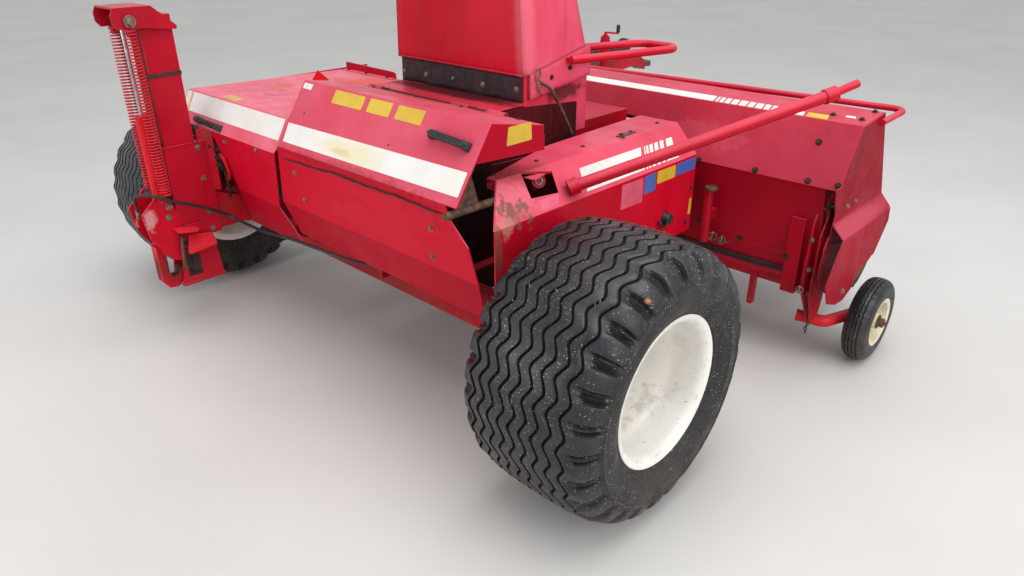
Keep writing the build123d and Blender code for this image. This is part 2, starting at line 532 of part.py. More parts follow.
auger = rod((PU_X0 + 12, AUGER_Y, AUGER_Z), (PU_X1 - 12, AUGER_Y, AUGER_Z), AUGER_R)
add("cross_auger", auger)

for side, tag, xe in ((1, "right", PU_X1), (-1, "left", PU_X0)):
    gx = xe + side * (GAUGE_X - PU_X1)
    arm = bent_tube([(xe - side * 134, 1145, 200), (xe - side * 30, 1178, 192), (gx - side * 62, GAUGE_Y, GAUGE_R + 2)], 24, 40)
    arm += rod((gx - side * 72, GAUGE_Y, GAUGE_R), (gx + side * 62, GAUGE_Y, GAUGE_R), 12)
    arm += rod((gx + side * 44, GAUGE_Y, GAUGE_R), (gx + side * 62, GAUGE_Y, GAUGE_R), 19)
    add("gauge_arm_" + tag, arm)
    prof = [(-40, 91.3), (-46, 108), (-GAUGE_W2, 130), (-45, 152), (-33, 167), (0, GAUGE_R), (33, 167), (45, 152), (GAUGE_W2, 130), (46, 108), (40, 91.3)]
    add("gauge_tyre_" + tag, ring_x(prof, gx, GAUGE_Y, GAUGE_R))
    grim = [(-42, 102), (-38, 91), (38, 91), (42, 102), (46, 102), (42, 85), (6, 80), (6, 36), (38, 31), (38, 12.05), (-38, 12.05), (-38, 31), (-4, 36), (-4, 80), (-42, 85), (-46, 102)]
    add("gauge_rim_" + tag, ring_x(grim, gx, GAUGE_Y, GAUGE_R))

# ===========================================================================
# Trailer hitch tower and its carriage
# ===========================================================================
tx0, tx1 = TW_X - TW_HALF, TW_X + TW_HALF
col = box(tx0, tx1, TW_Y0, TW_Y1, 440, 1330)
col += box(tx0 - 6, tx1 + 6, TW_Y0 - 7, TW_Y1 + 13, 430, 830)
for xa in (tx0 - 6, tx1 - 4):
    col += box(xa, xa + 10, TW_Y1 + 10, -268, 430, 832)
# flared foot: two side plates and a front plate
FOOT = [(-438, 445), (-447, 418), (-473, 255), (-473, 236), (-292, 236), (-292, 255), (-312, 418), (-313, 445)]
for xa in (tx0, tx1 - 8):
    col += poly_solid("x", FOOT, xa, xa + 8)
col += poly_solid("x", [(-313, 445), (-292, 255), (-292, 236), (-300, 236), (-301, 255), (-322, 445)], tx0, tx1)
col += box(tx0 - 8, tx1 + 8, -478, -287, 228, 240) - box(tx0 + 16, tx1 - 16, -480, -310, 200, 260)
# tilted jaw plate above the foot
col += poly_solid("x", [(-448, 396), (-449, 404), (-330, 442), (-330, 430)], tx0 - 4, tx1 + 4)
NODES["tower_column"] = col
CY = -480.0
HEAD = [(-529, 1366), (-392, 1366), (-307, 1290), (-310, 1276), (-430, 1290), (-524, 1290), (-540, 1310), (-541, 1342)]
hx0, hx1 = TW_X - 84, TW_X + 84
head = poly_solid("x", HEAD, hx0, hx1)
head -= box(hx0 + 6, hx1 - 6, -600, TW_Y0 - 8, 1200, 1360)
head += rod((hx0 - 8, CY, 1317), (hx1 + 8, CY, 1317), 14)
add("tower_head", head)
ROD_R, PISTON_Z = 8.0, 897.0
add("hitch_rod", rod((TW_X, CY, 1318), (TW_X, CY, PISTON_Z), ROD_R), rod((TW_X - 20, CY, 1317), (TW_X + 20, CY, 1317), 22), rod((TW_X, CY, PISTON_Z + 33), (TW_X, CY, PISTON_Z), 20))
NODES["hitch_rod"] = NODES["hitch_rod"] - rod((TW_X - 30, CY, 1317), (TW_X + 30, CY, 1317), 14)
PIN_Z = 600.0
barrel = rod((TW_X, CY, 578), (TW_X, CY, 960), 25) - rod((TW_X, CY, 640), (TW_X, CY, 940), 20.05) - rod((TW_X, CY, 900), (TW_X, CY, 980), ROD_R + FIT)
barrel -= rod((TW_X - 60, CY, PIN_Z), (TW_X + 60, CY, PIN_Z), 12)
add("hitch_cylinder", barrel)
SPRING_X, SPRING_Z0, SPRING_Z1 = 73.0, 648.0, 1289.0
for s, tag in ((1, "right"), (-1, "left")):
    xs = TW_X + s * SPRING_X
    add("hitch_spring_" + tag, pipe((xs, CY, SPRING_Z0), (xs, CY, SPRING_Z1), 23, 16))
# carriage: two outline plates beside the column, cross plate, pin, guide lips
PLATE_R = [(-503, 664), (-589, 585), (-572, 476), (-507, 372), (-462, 350), (-455, 470), (-449, 500), (-449, 560), (-470, 640)]
carr = poly_solid("x", PLATE_R, TW_X + 62, TW_X + 70) + poly_solid("x", PLATE_R, TW_X - 70, TW_X - 62)
for s in (1, -1):
    xs = TW_X + s * SPRING_X
    carr -= box(xs - 29, xs + 29, -511, -440, 612, 700)
carr += rod((TW_X - 98, CY, PIN_Z), (TW_X + 76, CY, PIN_Z), 12)
carr += box(TW_X - 64, TW_X + 64, -470, -458, 400, 560)
for x0, x1 in ((TW_X + 62, TW_X + 70), (TW_X - 70, TW_X - 62)):
    carr += box(x0, x1, -457, -360, 476, 500)
HK = -500.0
hook = poly_solid("x", [(HK - 50, 420), (HK - 14, 420), (HK - 14, 300), (HK - 4, 274), (HK + 20, 274), (HK + 32, 300), (HK + 44, 304), (HK + 44, 250), (HK + 15, 225), (HK - 25, 228), (HK - 50, 262)], TW_X - 25, TW_X + 25)
hook += box(TW_X - 64, TW_X + 64, -530, -505, 395, 420)
# block that the oil hose leaves upward, on the left plate
hook += box(TW_X - 66, TW_X - 28, -577, -553, 505, 538)
add("hitch_carriage", carr, hook)

# oil hose: from the block on the carriage, past the column's right side and along below the covers into the frame
HOSE_D = 14.0
HOSE = [(-738, -566, 538), (-738, -566, 598), (-704, -579, 645), (-650, -572, 666), (-616, -535, 661), (-606, -488, 636),
        (-610, -430, 606), (-614, -375, 580), (-614, -320, 550), (-616, -268, 517), (-606, -228, 488), (-570, -204, 468), (-500, -198, 464),
        (-400, -201, 470), (-290, -199, 484), (-180, -202, 500), (-70, -199, 508), (30, -196, 512), (115, -178, 505), (175, -158, 495),
        (230, -132, 492), (280, -114, 494), (322, -110, 495)]


def hose_radii(pts):
    out = []
    for i in range(1, len(pts) - 1):
        u, v = Vector(*pts[i]) - Vector(*pts[i - 1]), Vector(*pts[i + 1]) - Vector(*pts[i])
        half = math.radians(max(u.get_angle(v), 0.5)) / 2
        out.append(0.45 * min(u.length, v.length) / math.tan(half))
    return out


radii = hose_radii(HOSE)
print("hose radii", [round(q) for q in radii])
line = FilletPolyline(*[Vector(*q) for q in HOSE], radius=radii)
hose = sweep(Plane(origin=Vector(*HOSE[0]), z_dir=Vector(*HOSE[1]) - Vector(*HOSE[0])) * Circle(HOSE_D / 2), path=line)
print("hose length", round(line.length), "volume share", round(hose.volume / (math.pi * HOSE_D ** 2 / 4 * line.length), 3))
add("hitch_hose", hose)

# ===========================================================================
# Drawbar, driveline, jack
# ===========================================================================
def db(shape):
    return spin_z(shape, DB_HEADING, bx, by)


beam = box(bx - 60, bx + 60, by + 85, by + DB_LEN - 260, DB_Z - 50, DB_Z + 50)
beam += box(bx - 60, bx + 60, by - 45, by + 90, 505, 615) - rod((bx, by, 500), (bx, by, 620), 30 + FIT)
beam += poly_solid("x", [(by + DB_LEN - 265, DB_Z - 50), (by + DB_LEN - 265, DB_Z + 50), (by + DB_LEN - 40, 520), (by + DB_LEN - 40, 440)], bx - 50, bx + 50)
beam += box(bx + 60, bx + 100, by + 900, by + 940, DB_Z - 40, DB_Z + 40)
add("drawbar", db(beam))
eye = Solid.make_cylinder(65, 40, Plane(origin=(bx, by + DB_LEN + 40, 460), z_dir=(0, 0, 1))) + box(bx - 30, bx + 30, by + DB_LEN - 60, by + DB_LEN + 20, 462, 498)
eye -= Solid.make_cylinder(26, 60, Plane(origin=(bx, by + DB_LEN + 40, 450), z_dir=(0, 0, 1)))
add("drawbar_eye", db(eye))
shaft = rod((bx + 5, by + 130, 690), (bx + 5, by + DB_LEN - 420, 690), 42)
shaft += rod((bx + 5, by + DB_LEN - 425, 690), (bx + 5, by + DB_LEN - 300, 690), 17.5)
for yy in (by + 400, by + 1600, by + DB_LEN - 520):
    shaft += box(bx - 20, bx + 30, yy, yy + 40, DB_Z + 50, 655)
add("drive_shaft", db(shaft))
shield = poly_solid("x", [(by + 1500, 612), (by + 1500, 760), (by + 1700, 1120), (by + 1790, 1120), (by + 1660, 760), (by + 1660, 612)], bx + 75, bx + 85)
shield += box(bx + 50, bx + 85, by + 1520, by + 1650, 560, 618)
add("hose_stand", db(shield))
jy = by + 2350
jt = pipe((bx + 105, jy, 305), (bx + 105, jy, 820), 36, 28.05) + box(bx + 55, bx + 75, jy - 50, jy + 50, DB_Z - 45, DB_Z + 45)
jt += rod((bx + 105, jy, 818), (bx + 105, jy, 836), 36) + rod((bx + 105, jy, 836), (bx + 105, jy, 852), 20)
jl = rod((bx + 105, jy, 8), (bx + 105, jy, 520), 28) + rod((bx + 105, jy, 0), (bx + 105, jy, 10), 85)
add("jack_leg", db(jl))
crank = rod((bx + 105, jy, 850), (bx + 105, jy, 872), 9) + rod((bx + 105, jy, 866), (bx + 215, jy, 866), 7) + rod((bx + 212, jy, 866), (bx + 212, jy, 930), 10)
add("jack_tube", db(jt), db(crank))

# ===========================================================================
# Output
# ===========================================================================
# pieces of one body that are let into each other: the first is cut to the second
TRIM = [("hitch_hose", "main_frame"), ("rotor_housing", "axle"), ("rotor_housing", "main_frame"), ("rotor_housing", "chute_foot"), ("front_loop_guard", "chute_foot"),
        ("feed_housing", "chute_neck"), ("feed_housing", "main_frame"), ("drawbar_eye", "drawbar"), ("hose_stand", "drawbar"),
        ("jack_tube", "drawbar"), ("drawbar_bracket", "main_frame"), ("gauge_arm_right", "pickup_frame"), ("gauge_arm_left", "pickup_frame"),
        ("gauge_tyre_right", "gauge_rim_right"), ("gauge_tyre_left", "gauge_rim_left"), ("tyre_right", "rim_right"), ("tyre_left", "rim_left"),
        ("long_guard_bar", "right_side_panel"), ("cover_tube", "right_rear_cover"), ("tower_column", "main_frame"), ("tower_head", "tower_column"),
        ("pickup_guard_tube", "pickup_end_right"), ("pickup_guard_tube", "pickup_end_left"), ("pickup_guard_tube", "pickup_hood"),
        ("pickup_tines", "pickup_reel"), ("stripper_bands", "pickup_frame"), ("pickup_hood", "pickup_frame"), ("stripper_bands", "pickup_end_right"), ("stripper_bands", "pickup_end_left"),
        ("pickup_end_right", "pickup_frame"), ("pickup_end_left", "pickup_frame"), ("pickup_end_right", "pickup_hood"), ("pickup_end_left", "pickup_hood"),
        ("chute_neck", "rotor_housing"), ("chute_neck", "chute_foot"), ("main_gearbox", "rotor_housing")]
for a, b in TRIM:
    NODES[a] = NODES[a] - NODES[b]

SH = Pos(-SHIFT_X, -SHIFT_Y, 0)
bb = None
for name, shape in NODES.items():
    s = SH * shape
    if isinstance(s, (list, ShapeList)):
        s = Compound(children=list(s))
    b = s.bounding_box()
    lo, hi = b.min, b.max
    if bb is None:
        bb = [lo.X, lo.Y, lo.Z, hi.X, hi.Y, hi.Z]
    else:
        bb = [min(bb[0], lo.X), min(bb[1], lo.Y), min(bb[2], lo.Z), max(bb[3], hi.X), max(bb[4], hi.Y), max(bb[5], hi.Z)]
    export_step(s, "parts/" + name + ".step")
print(len(NODES), "pieces; box", [round(v, 1) for v in bb], "centre", round((bb[0] + bb[3]) / 2, 2), round((bb[1] + bb[4]) / 2, 2))
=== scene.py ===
import bpy, math, json, random
from mathutils import Matrix, Vector, noise


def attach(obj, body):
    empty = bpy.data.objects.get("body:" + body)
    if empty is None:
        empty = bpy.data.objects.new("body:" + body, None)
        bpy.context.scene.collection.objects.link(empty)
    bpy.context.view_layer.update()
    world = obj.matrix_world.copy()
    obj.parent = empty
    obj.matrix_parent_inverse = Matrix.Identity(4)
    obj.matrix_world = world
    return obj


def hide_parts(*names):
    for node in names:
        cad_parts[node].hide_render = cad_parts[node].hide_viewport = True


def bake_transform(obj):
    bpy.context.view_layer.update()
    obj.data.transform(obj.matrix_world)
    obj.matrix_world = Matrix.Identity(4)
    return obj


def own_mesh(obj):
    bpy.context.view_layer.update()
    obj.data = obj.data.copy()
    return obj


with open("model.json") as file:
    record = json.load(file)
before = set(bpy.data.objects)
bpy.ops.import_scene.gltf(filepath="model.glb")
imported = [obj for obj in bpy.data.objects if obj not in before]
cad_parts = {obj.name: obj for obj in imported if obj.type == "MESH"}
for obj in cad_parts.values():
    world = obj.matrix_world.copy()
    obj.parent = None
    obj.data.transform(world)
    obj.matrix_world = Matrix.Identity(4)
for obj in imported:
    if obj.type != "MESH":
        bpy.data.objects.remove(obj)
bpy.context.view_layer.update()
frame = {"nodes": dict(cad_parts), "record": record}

# --------------------------------------------------------------------------
# camera: the photograph's angle
# --------------------------------------------------------------------------
cam_data = bpy.data.cameras.new("camera_front")
cam = bpy.data.objects.new("camera_front", cam_data)
bpy.context.scene.collection.objects.link(cam)
cam_data.sensor_width = 36
cam_data.lens = 36 * 740.0 / 1024
YAW, PITCH, ROLL = math.radians(43.8), math.radians(26.24), math.radians(0.2)
cy, sy, cp, sp = math.cos(YAW), math.sin(YAW), math.cos(PITCH), math.sin(PITCH)
fwd = Vector((-sy * cp, cy * cp, -sp)); right = Vector((cy, sy, 0)); down = fwd.cross(right)
xr = right * math.cos(ROLL) + down * math.sin(ROLL)
yr = -right * math.sin(ROLL) + down * math.cos(ROLL)
cam.matrix_world = Matrix(((xr.x, -yr.x, -fwd.x, 2.386), (xr.y, -yr.y, -fwd.y, -3.116),
                           (xr.z, -yr.z, -fwd.z, 1.635), (0, 0, 0, 1)))
cam_data.clip_start = 0.05
bpy.context.scene.camera = cam
bpy.context.scene.view_settings.view_transform = "Standard"


def P(x, y, z):
    """Machine millimetres, as in the CAD source, to metres in the row frame."""
    return Vector(((x + 15.0) / 1000, (y - 1540.0) / 1000, z / 1000))


def lin(r, g, b):
    f = lambda c: c / 12.92 if c <= 0.04045 else ((c + 0.055) / 1.055) ** 2.4
    return (f(r / 255), f(g / 255), f(b / 255), 1.0)


# --------------------------------------------------------------------------
# procedural materials
# --------------------------------------------------------------------------
class Mat:
    def __init__(s, name, rough=0.5, metal=0.0, coat=0.0, coat_rough=0.1, spec=0.5):
        s.m = bpy.data.materials.new(name); s.m.use_nodes = True
        s.t = s.m.node_tree; s.b = s.t.nodes["Principled BSDF"]
        s.b.inputs["Roughness"].default_value = rough
        s.b.inputs["Metallic"].default_value = metal
        s.b.inputs["Coat Weight"].default_value = coat
        s.b.inputs["Coat Roughness"].default_value = coat_rough
        s.b.inputs["Specular IOR Level"].default_value = spec
        s.co = s.t.nodes.new("ShaderNodeTexCoord")
        s.obj = s.co.outputs["Object"]
        s.rounded = None
        sep = s.t.nodes.new("ShaderNodeSeparateXYZ"); s.link(s.co.outputs["Normal"], sep.inputs[0])
        s.nx, s.ny, s.nz = sep.outputs
        sep = s.t.nodes.new("ShaderNodeSeparateXYZ"); s.link(s.obj, sep.inputs[0])
        s.x, s.y, s.z = sep.outputs

    def link(s, a, b):
        s.t.links.new(a, b)

    def put(s, sock, v):
        if isinstance(v, bpy.types.NodeSocket): s.link(v, sock)
        elif isinstance(v, (tuple, list)) and len(v) == 3 and sock.type == "RGBA": sock.default_value = (*v, 1)
        else: sock.default_value = v

    def map(s, scale, loc=(0, 0, 0), vec=None):
        n = s.t.nodes.new("ShaderNodeMapping"); s.link(vec or s.obj, n.inputs["Vector"])
        n.inputs["Scale"].default_value = scale; n.inputs["Location"].default_value = loc
        return n.outputs[0]

    def noise(s, scale, detail=4.0, rough=0.55, vec=None, dist=0.0):
        n = s.t.nodes.new("ShaderNodeTexNoise"); s.link(vec or s.obj, n.inputs["Vector"])
        n.inputs["Scale"].default_value = scale; n.inputs["Detail"].default_value = detail
        n.inputs["Roughness"].default_value = rough; n.inputs["Distortion"].default_value = dist
        return n.outputs["Fac"]

    def voronoi(s, scale, vec=None, feature="F1"):
        n = s.t.nodes.new("ShaderNodeTexVoronoi"); s.link(vec or s.obj, n.inputs["Vector"])
        n.feature = feature; n.inputs["Scale"].default_value = scale
        return n.outputs["Distance"]

    def rng(s, v, a, b, lo=0.0, hi=1.0):
        n = s.t.nodes.new("ShaderNodeMapRange"); s.put(n.inputs["Value"], v)
        n.interpolation_type = "SMOOTHSTEP"
        for k, w in (("From Min", a), ("From Max", b), ("To Min", lo), ("To Max", hi)):
            n.inputs[k].default_value = w
        return n.outputs["Result"]

    def math(s, op, a, b=0.0, clamp=False):
        n = s.t.nodes.new("ShaderNodeMath"); n.operation = op; n.use_clamp = clamp
        s.put(n.inputs[0], a); s.put(n.inputs[1], b)
        return n.outputs[0]

    def mul(s, *a):
        r = a[0]
        for b in a[1:]: r = s.math("MULTIPLY", r, b)
        return r

    def mix(s, fac, a, b, mode="MIX"):
        n = s.t.nodes.new("ShaderNodeMix"); n.data_type = "RGBA"; n.blend_type = mode
        s.put(n.inputs["Factor"], fac)
        s.put([i for i in n.inputs if i.name == "A" and i.type == "RGBA"][0], a)
        s.put([i for i in n.inputs if i.name == "B" and i.type == "RGBA"][0], b)
        return [o for o in n.outputs if o.type == "RGBA"][0]

    def blob(s, c, r, soft=0.3, jitter=0.35, scale=30.0):
        """A patch round the machine point c, with radii r in millimetres and a broken edge."""
        p = P(*c)
        v = s.map(tuple(1000.0 / k for k in r), tuple(-p[i] * 1000.0 / r[i] for i in range(3)))
        n = s.t.nodes.new("ShaderNodeVectorMath"); n.operation = "LENGTH"; s.link(v, n.inputs[0])
        d = s.math("ADD", n.outputs["Value"], s.math("MULTIPLY", s.math("SUBTRACT", s.noise(scale, 5), 0.5), jitter * 4))
        return s.rng(d, 1.0 - soft, 1.0 + soft * 0.3, 1.0, 0.0)

    def edge(s, radius=0.004, samples=4):
        """1 on rounded-off edges, 0 on flat faces."""
        bv = s.t.nodes.new("ShaderNodeBevel"); bv.samples = samples; bv.inputs["Radius"].default_value = radius
        ge = s.t.nodes.new("ShaderNodeNewGeometry")
        n = s.t.nodes.new("ShaderNodeVectorMath"); n.operation = "DOT_PRODUCT"
        s.link(bv.outputs[0], n.inputs[0]); s.link(ge.outputs["Normal"], n.inputs[1])
        return s.rng(n.outputs["Value"], 0.995, 0.9, 0.0, 1.0)

    def bump(s, *layers):
        """(height, strength, distance in metres) layers, coarse first."""
        prev = s.rounded
        for h, st, d in layers:
            n = s.t.nodes.new("ShaderNodeBump"); s.link(h, n.inputs["Height"])
            n.inputs["Strength"].default_value = st; n.inputs["Distance"].default_value = d
            if prev: s.link(prev, n.inputs["Normal"])
            prev = n.outputs["Normal"]
        s.link(prev, s.b.inputs["Normal"])
        if s.b.inputs["Coat Weight"].default_value > 0: s.link(prev, s.b.inputs["Coat Normal"])

    def color(s, v): s.put(s.b.inputs["Base Color"], v)
    def rough(s, v): s.put(s.b.inputs["Roughness"], v)


RED = lin(202, 10, 40)
RED_DEEP = lin(178, 6, 30)
# pale faded red, laid on sky-facing faces as faded paint and as painted sky highlight
RED_FADED_SHEEN = lin(222, 98, 121)
MUD = lin(112, 92, 78)
RUST = lin(98, 52, 34)


def red(name, base=RED, deep=RED_DEEP, fade_and_sheen=0.55, dirt=0.5, gloss=0.34, wear=0.5, coat=0.06, low=0.42, blobs=(), wavy=1.0, spec=0.16, rear_shade_and_dirt=0.0, side_fade_and_sheen=0.0, underside_light_and_shade=None, bend=0.0, faded_sheen_red=RED_FADED_SHEEN):
    m = Mat(name, rough=gloss, coat=coat, coat_rough=0.16, spec=spec)
    big = m.noise(2.3, 3, 0.5)
    c = m.mix(m.rng(big, 0.3, 0.7), base, deep)
    # sky-facing paint is paler: partly chalky faded paint, partly a painted highlight where the sky lights it
    up = m.mul(m.rng(m.nz, 0.05, 0.66), m.rng(m.noise(5.0, 5, 0.6), 0.25, 0.75, 0.55, 1.0), fade_and_sheen)
    c = m.mix(up, c, faded_sheen_red)
    # painted highlight, partly faded paint: faces turned towards +X get a pale pink in patches, weaker above 1.55 m
    if side_fade_and_sheen:
        c = m.mix(m.mul(m.rng(m.nx, 0.80, 0.96), m.rng(m.noise(2.6, 6, 0.6, m.map((1, 1, 0.35))), 0.30, 0.62, 0.35, 1.0), m.rng(m.z, 2.0, 1.55, 0.25 * side_fade_and_sheen, side_fade_and_sheen)), c, lin(236, 104, 134))
    # painted light and shade on down-facing faces: faces tipped well down get a brighter underside red as painted floor
    # light, faces tipped only a little down get a darker red as painted shade, so the cover's fold shows
    if underside_light_and_shade:
        c = m.mix(m.mul(m.rng(m.nz, 0.20, -0.05), m.rng(m.noise(2.0, 4, 0.6), 0.3, 0.7, 1.0, 0.65)), c, underside_light_and_shade)
        c = m.mix(m.rng(m.nz, -0.262, -0.240, 0.0, 0.90), c, m.mix(m.rng(m.nz, 0.0, 0.05), lin(172, 4, 34), c))
    # painted shade, partly dirt: faces turned to the rear are darkened in patches, as on the tower column behind the
    # springs
    if rear_shade_and_dirt:
        c = m.mix(m.mul(m.rng(m.ny, -0.8, -0.98), m.rng(m.noise(6.0, 6, 0.7), 0.2, 0.6, 0.6, 1.0), rear_shade_and_dirt), c, lin(62, 22, 24))
    # painted shade: faces turned downwards are darker
    c = m.mix(m.rng(m.nz, -0.45, -0.95, 0.0, 0.45), c, lin(120, 2, 14))
    # rain streaks on standing faces
    st = m.noise(1.0, 5, 0.6, m.map((26, 26, 1.6)))
    c = m.mix(m.mul(m.rng(st, 0.52, 0.78), m.rng(m.nz, 0.6, 0.2), 0.30), c, lin(142, 10, 26))
    st2 = m.noise(1.0, 4, 0.6, m.map((60, 60, 3.0), (4, 2, 1)))
    c = m.mix(m.mul(m.rng(st2, 0.60, 0.80), m.rng(m.nz, 0.9, 0.3), 0.12 * dirt), c, lin(206, 96, 108))
    # dust: on low places, in patches and on level tops
    dn = m.noise(9.0, 7, 0.65)
    lowf = m.rng(m.z, low, 0.08, 0.0, 1.0)
    d1 = m.mul(lowf, m.rng(dn, 0.36, 0.72), 0.70 * dirt)
    d2 = m.mul(m.rng(m.nz, 0.90, 0.99), m.rng(m.noise(14.0, 7, 0.7), 0.52, 0.78), 0.40 * dirt)
    dust = m.math("MAXIMUM", d1, d2)
    c = m.mix(dust, c, MUD)
    # fine dull specks and scratches
    sp_ = m.mul(m.rng(m.noise(170.0, 2, 0.5), 0.68, 0.76), m.rng(m.noise(4.0, 3), 0.45, 0.65), 0.55 * wear)
    c = m.mix(sp_, c, lin(92, 40, 36))
    scr = m.noise(1.0, 3, 0.5, m.map((7, 9, 210), (1, 5, 2)))
    c = m.mix(m.mul(m.rng(scr, 0.69, 0.74), m.rng(m.noise(3.3, 2), 0.55, 0.68), 0.35 * wear), c, lin(228, 128, 140))
    # a painted edge highlight, partly paint worn thin, lightens every rounded edge a little; chips where edges rub
    ed = m.edge()
    chip = m.mul(ed, m.rng(m.noise(45.0, 5, 0.7), 0.56, 0.66), wear)
    c = m.mix(m.mul(ed, 0.16), c, lin(226, 92, 110))
    c = m.mix(chip, c, m.mix(m.rng(m.noise(20.0, 3), 0.4, 0.6), lin(70, 40, 34), RUST))
    r = m.math("ADD", m.rng(m.noise(11.0, 5, 0.6), 0.3, 0.75, gloss, gloss + 0.22), m.math("MULTIPLY", dust, 0.45))
    r = m.math("ADD", r, m.math("MULTIPLY", chip, 0.3), clamp=True)
    for cen, rad, colr, st_, jit in blobs:
        b_ = m.mul(m.blob(cen, rad, 0.45, jit), st_)
        c = m.mix(b_, c, colr)
        r = m.math("ADD", r, m.math("MULTIPLY", b_, 0.25), clamp=True)
    m.color(c); m.rough(r)
    if bend:                                     # folded corners read as wide bends
        bv = m.t.nodes.new("ShaderNodeBevel"); bv.samples = 6; bv.inputs["Radius"].default_value = bend
        m.rounded = bv.outputs["Normal"]
    m.bump((m.noise(1.7, 2, 0.4), 0.35 * wavy, 0.012), (m.noise(260.0, 3, 0.6), 0.10, 0.0006))
    return m.m


def flat(name, a, b, rough=(0.4, 0.6), metal=0.0, scale=30.0, bump=(0.3, 0.0008), coat=0.0, dirt=0.0, wearc=None):
    """A plain finish with two-tone variation, dirt and a fine surface."""
    m = Mat(name, rough=rough[0], metal=metal, coat=coat)
    n = m.noise(scale, 6, 0.62)
    c = m.mix(m.rng(n, 0.32, 0.68), a, b)
    if dirt:
        c = m.mix(m.mul(m.rng(m.noise(scale * 0.35, 7, 0.68), 0.50, 0.72), dirt), c, MUD)
    if wearc:
        c = m.mix(m.mul(m.edge(0.003), m.rng(m.noise(scale * 2.2, 4, 0.6), 0.40, 0.62)), c, wearc)
    m.color(c)
    m.rough(m.rng(m.noise(scale * 1.7, 5, 0.6), 0.3, 0.7, rough[0], rough[1]))
    m.bump((m.noise(scale * 6, 5, 0.6), bump[0], bump[1]))
    return m.m


def decal(name, base, alt, show=0.5, dirt=0.35, spots=None):
    """A stuck-on film: fades in patches, and its torn specks show the red under it."""
    m = Mat(name, rough=0.42, coat=0.15, coat_rough=0.2)
    c = m.mix(m.rng(m.noise(6.0, 4, 0.6), 0.40, 0.70, 0.0, 0.8), base, alt)
    c = m.mix(m.mul(m.rng(m.noise(28.0, 7, 0.7), 0.50, 0.80), dirt), c, lin(150, 122, 100))
    if spots:
        for cen, rad, colr, st_, jit in spots:
            c = m.mix(m.mul(m.blob(cen, rad, 0.6, jit, 22.0), st_), c, colr)
    c = m.mix(m.mul(m.rng(m.noise(120.0, 4, 0.6), 0.66, 0.74), m.rng(m.noise(7.0, 3), 0.45, 0.62), show), c, lin(190, 22, 44))
    m.color(c)
    m.rough(m.rng(m.noise(30.0, 4), 0.3, 0.7, 0.34, 0.55))
    m.bump((m.noise(9.0, 3), 0.2, 0.001), (m.noise(180.0, 4), 0.12, 0.0004))
    return m.m


M = {}
M["red"] = red("red_paint")
M["red_cover"] = red("red_paint_cover", spec=0.10, coat=0.0, low=0.2, fade_and_sheen=0.78, faded_sheen_red=lin(212, 104, 124), underside_light_and_shade=lin(212, 14, 46), blobs=(
    ((400, 20, 1100), (330, 60, 60), lin(196, 96, 84), 0.30, 0.5),
    ((300, 100, 1090), (420, 36, 30), lin(96, 20, 26), 0.45, 0.6),
    ((360, -270, 905), (480, 60, 26), lin(112, 26, 30), 0.35, 0.5)))
M["red_hood"] = red("red_paint_hood", spec=0.12, coat=0.0, low=0.2, fade_and_sheen=0.90, faded_sheen_red=lin(232, 126, 142), underside_light_and_shade=lin(206, 12, 44), blobs=(
    ((-430, 330, 1000), (150, 190, 60), lin(214, 96, 52), 0.75, 0.35),
    ((-640, 120, 1000), (70, 40, 40), lin(206, 110, 80), 0.5, 0.5),
    ((-520, -20, 1000), (46, 20, 30), lin(120, 70, 150), 0.30, 0.3),
    ((-260, 60, 1000), (60, 200, 40), lin(206, 80, 72), 0.35, 0.5)))
M["red_side"] = red("red_paint_side", fade_and_sheen=0.7, blobs=(
    ((900, -60, 880), (90, 110, 70), lin(226, 112, 128), 0.65, 0.45),
    ((926, -52, 852), (52, 62, 46), lin(112, 84, 66), 0.85, 0.95),
    ((946, -118, 836), (20, 48, 40), lin(190, 120, 112), 0.75, 0.9),
    ((948, -150, 760), (16, 18, 120), lin(120, 74, 62), 0.7, 0.6),
    ((905, 350, 870), (60, 260, 30), lin(214, 92, 108), 0.30, 0.5),
    # painted shadow: dark red on the panel's level top beside the cover
    ((840, 60, 937), (60, 120, 20), lin(150, 60, 60), 0.40, 0.5)))
M["red_chute"] = red("red_paint_chute", bend=0.024, fade_and_sheen=0.45, side_fade_and_sheen=0.85, gloss=0.26, dirt=0.35, wear=0.35, coat=0.16, blobs=(
    # painted shade: dark patch on the chute side under the rubber skirt's end
    ((632, 530, 1092), (30, 80, 26), lin(52, 30, 30), 0.85, 0.4),
    # painted highlight, partly faded paint: pale band along the rounded front-side corner of the chute
    ((634, 322, 1460), (56, 60, 480), lin(226, 112, 128), 0.55, 0.08),
    ((120, 300, 1250), (60, 14, 130), lin(140, 30, 40), 0.2, 0.6)))
M["red_neck"] = red("red_paint_neck", fade_and_sheen=0.3, side_fade_and_sheen=0.5, dirt=0.8, wear=0.8, blobs=(
    # painted shadow: dark band on the neck right under the rubber strip
    ((290, 272, 1076), (400, 62, 46), lin(64, 16, 19), 0.92, 0.10),
    # painted shade: dark patch under the skirt's side end
    ((624, 520, 1088), (30, 120, 34), lin(52, 26, 26), 0.80, 0.4)))
# shaded copy of the red paint: parts inside the machine get a dark red as painted shade
M["red_inner"] = red("red_paint_inside_shaded", base=lin(82, 8, 18), deep=lin(50, 8, 12), fade_and_sheen=0.3, dirt=0.6, gloss=0.5, wear=0.9, coat=0.0, low=1.1, blobs=(
    # painted shade: near-black deep inside, behind the side panel's cut-out
    ((622, 90, 760), (60, 120, 220), lin(24, 18, 18), 0.85, 0.3),))
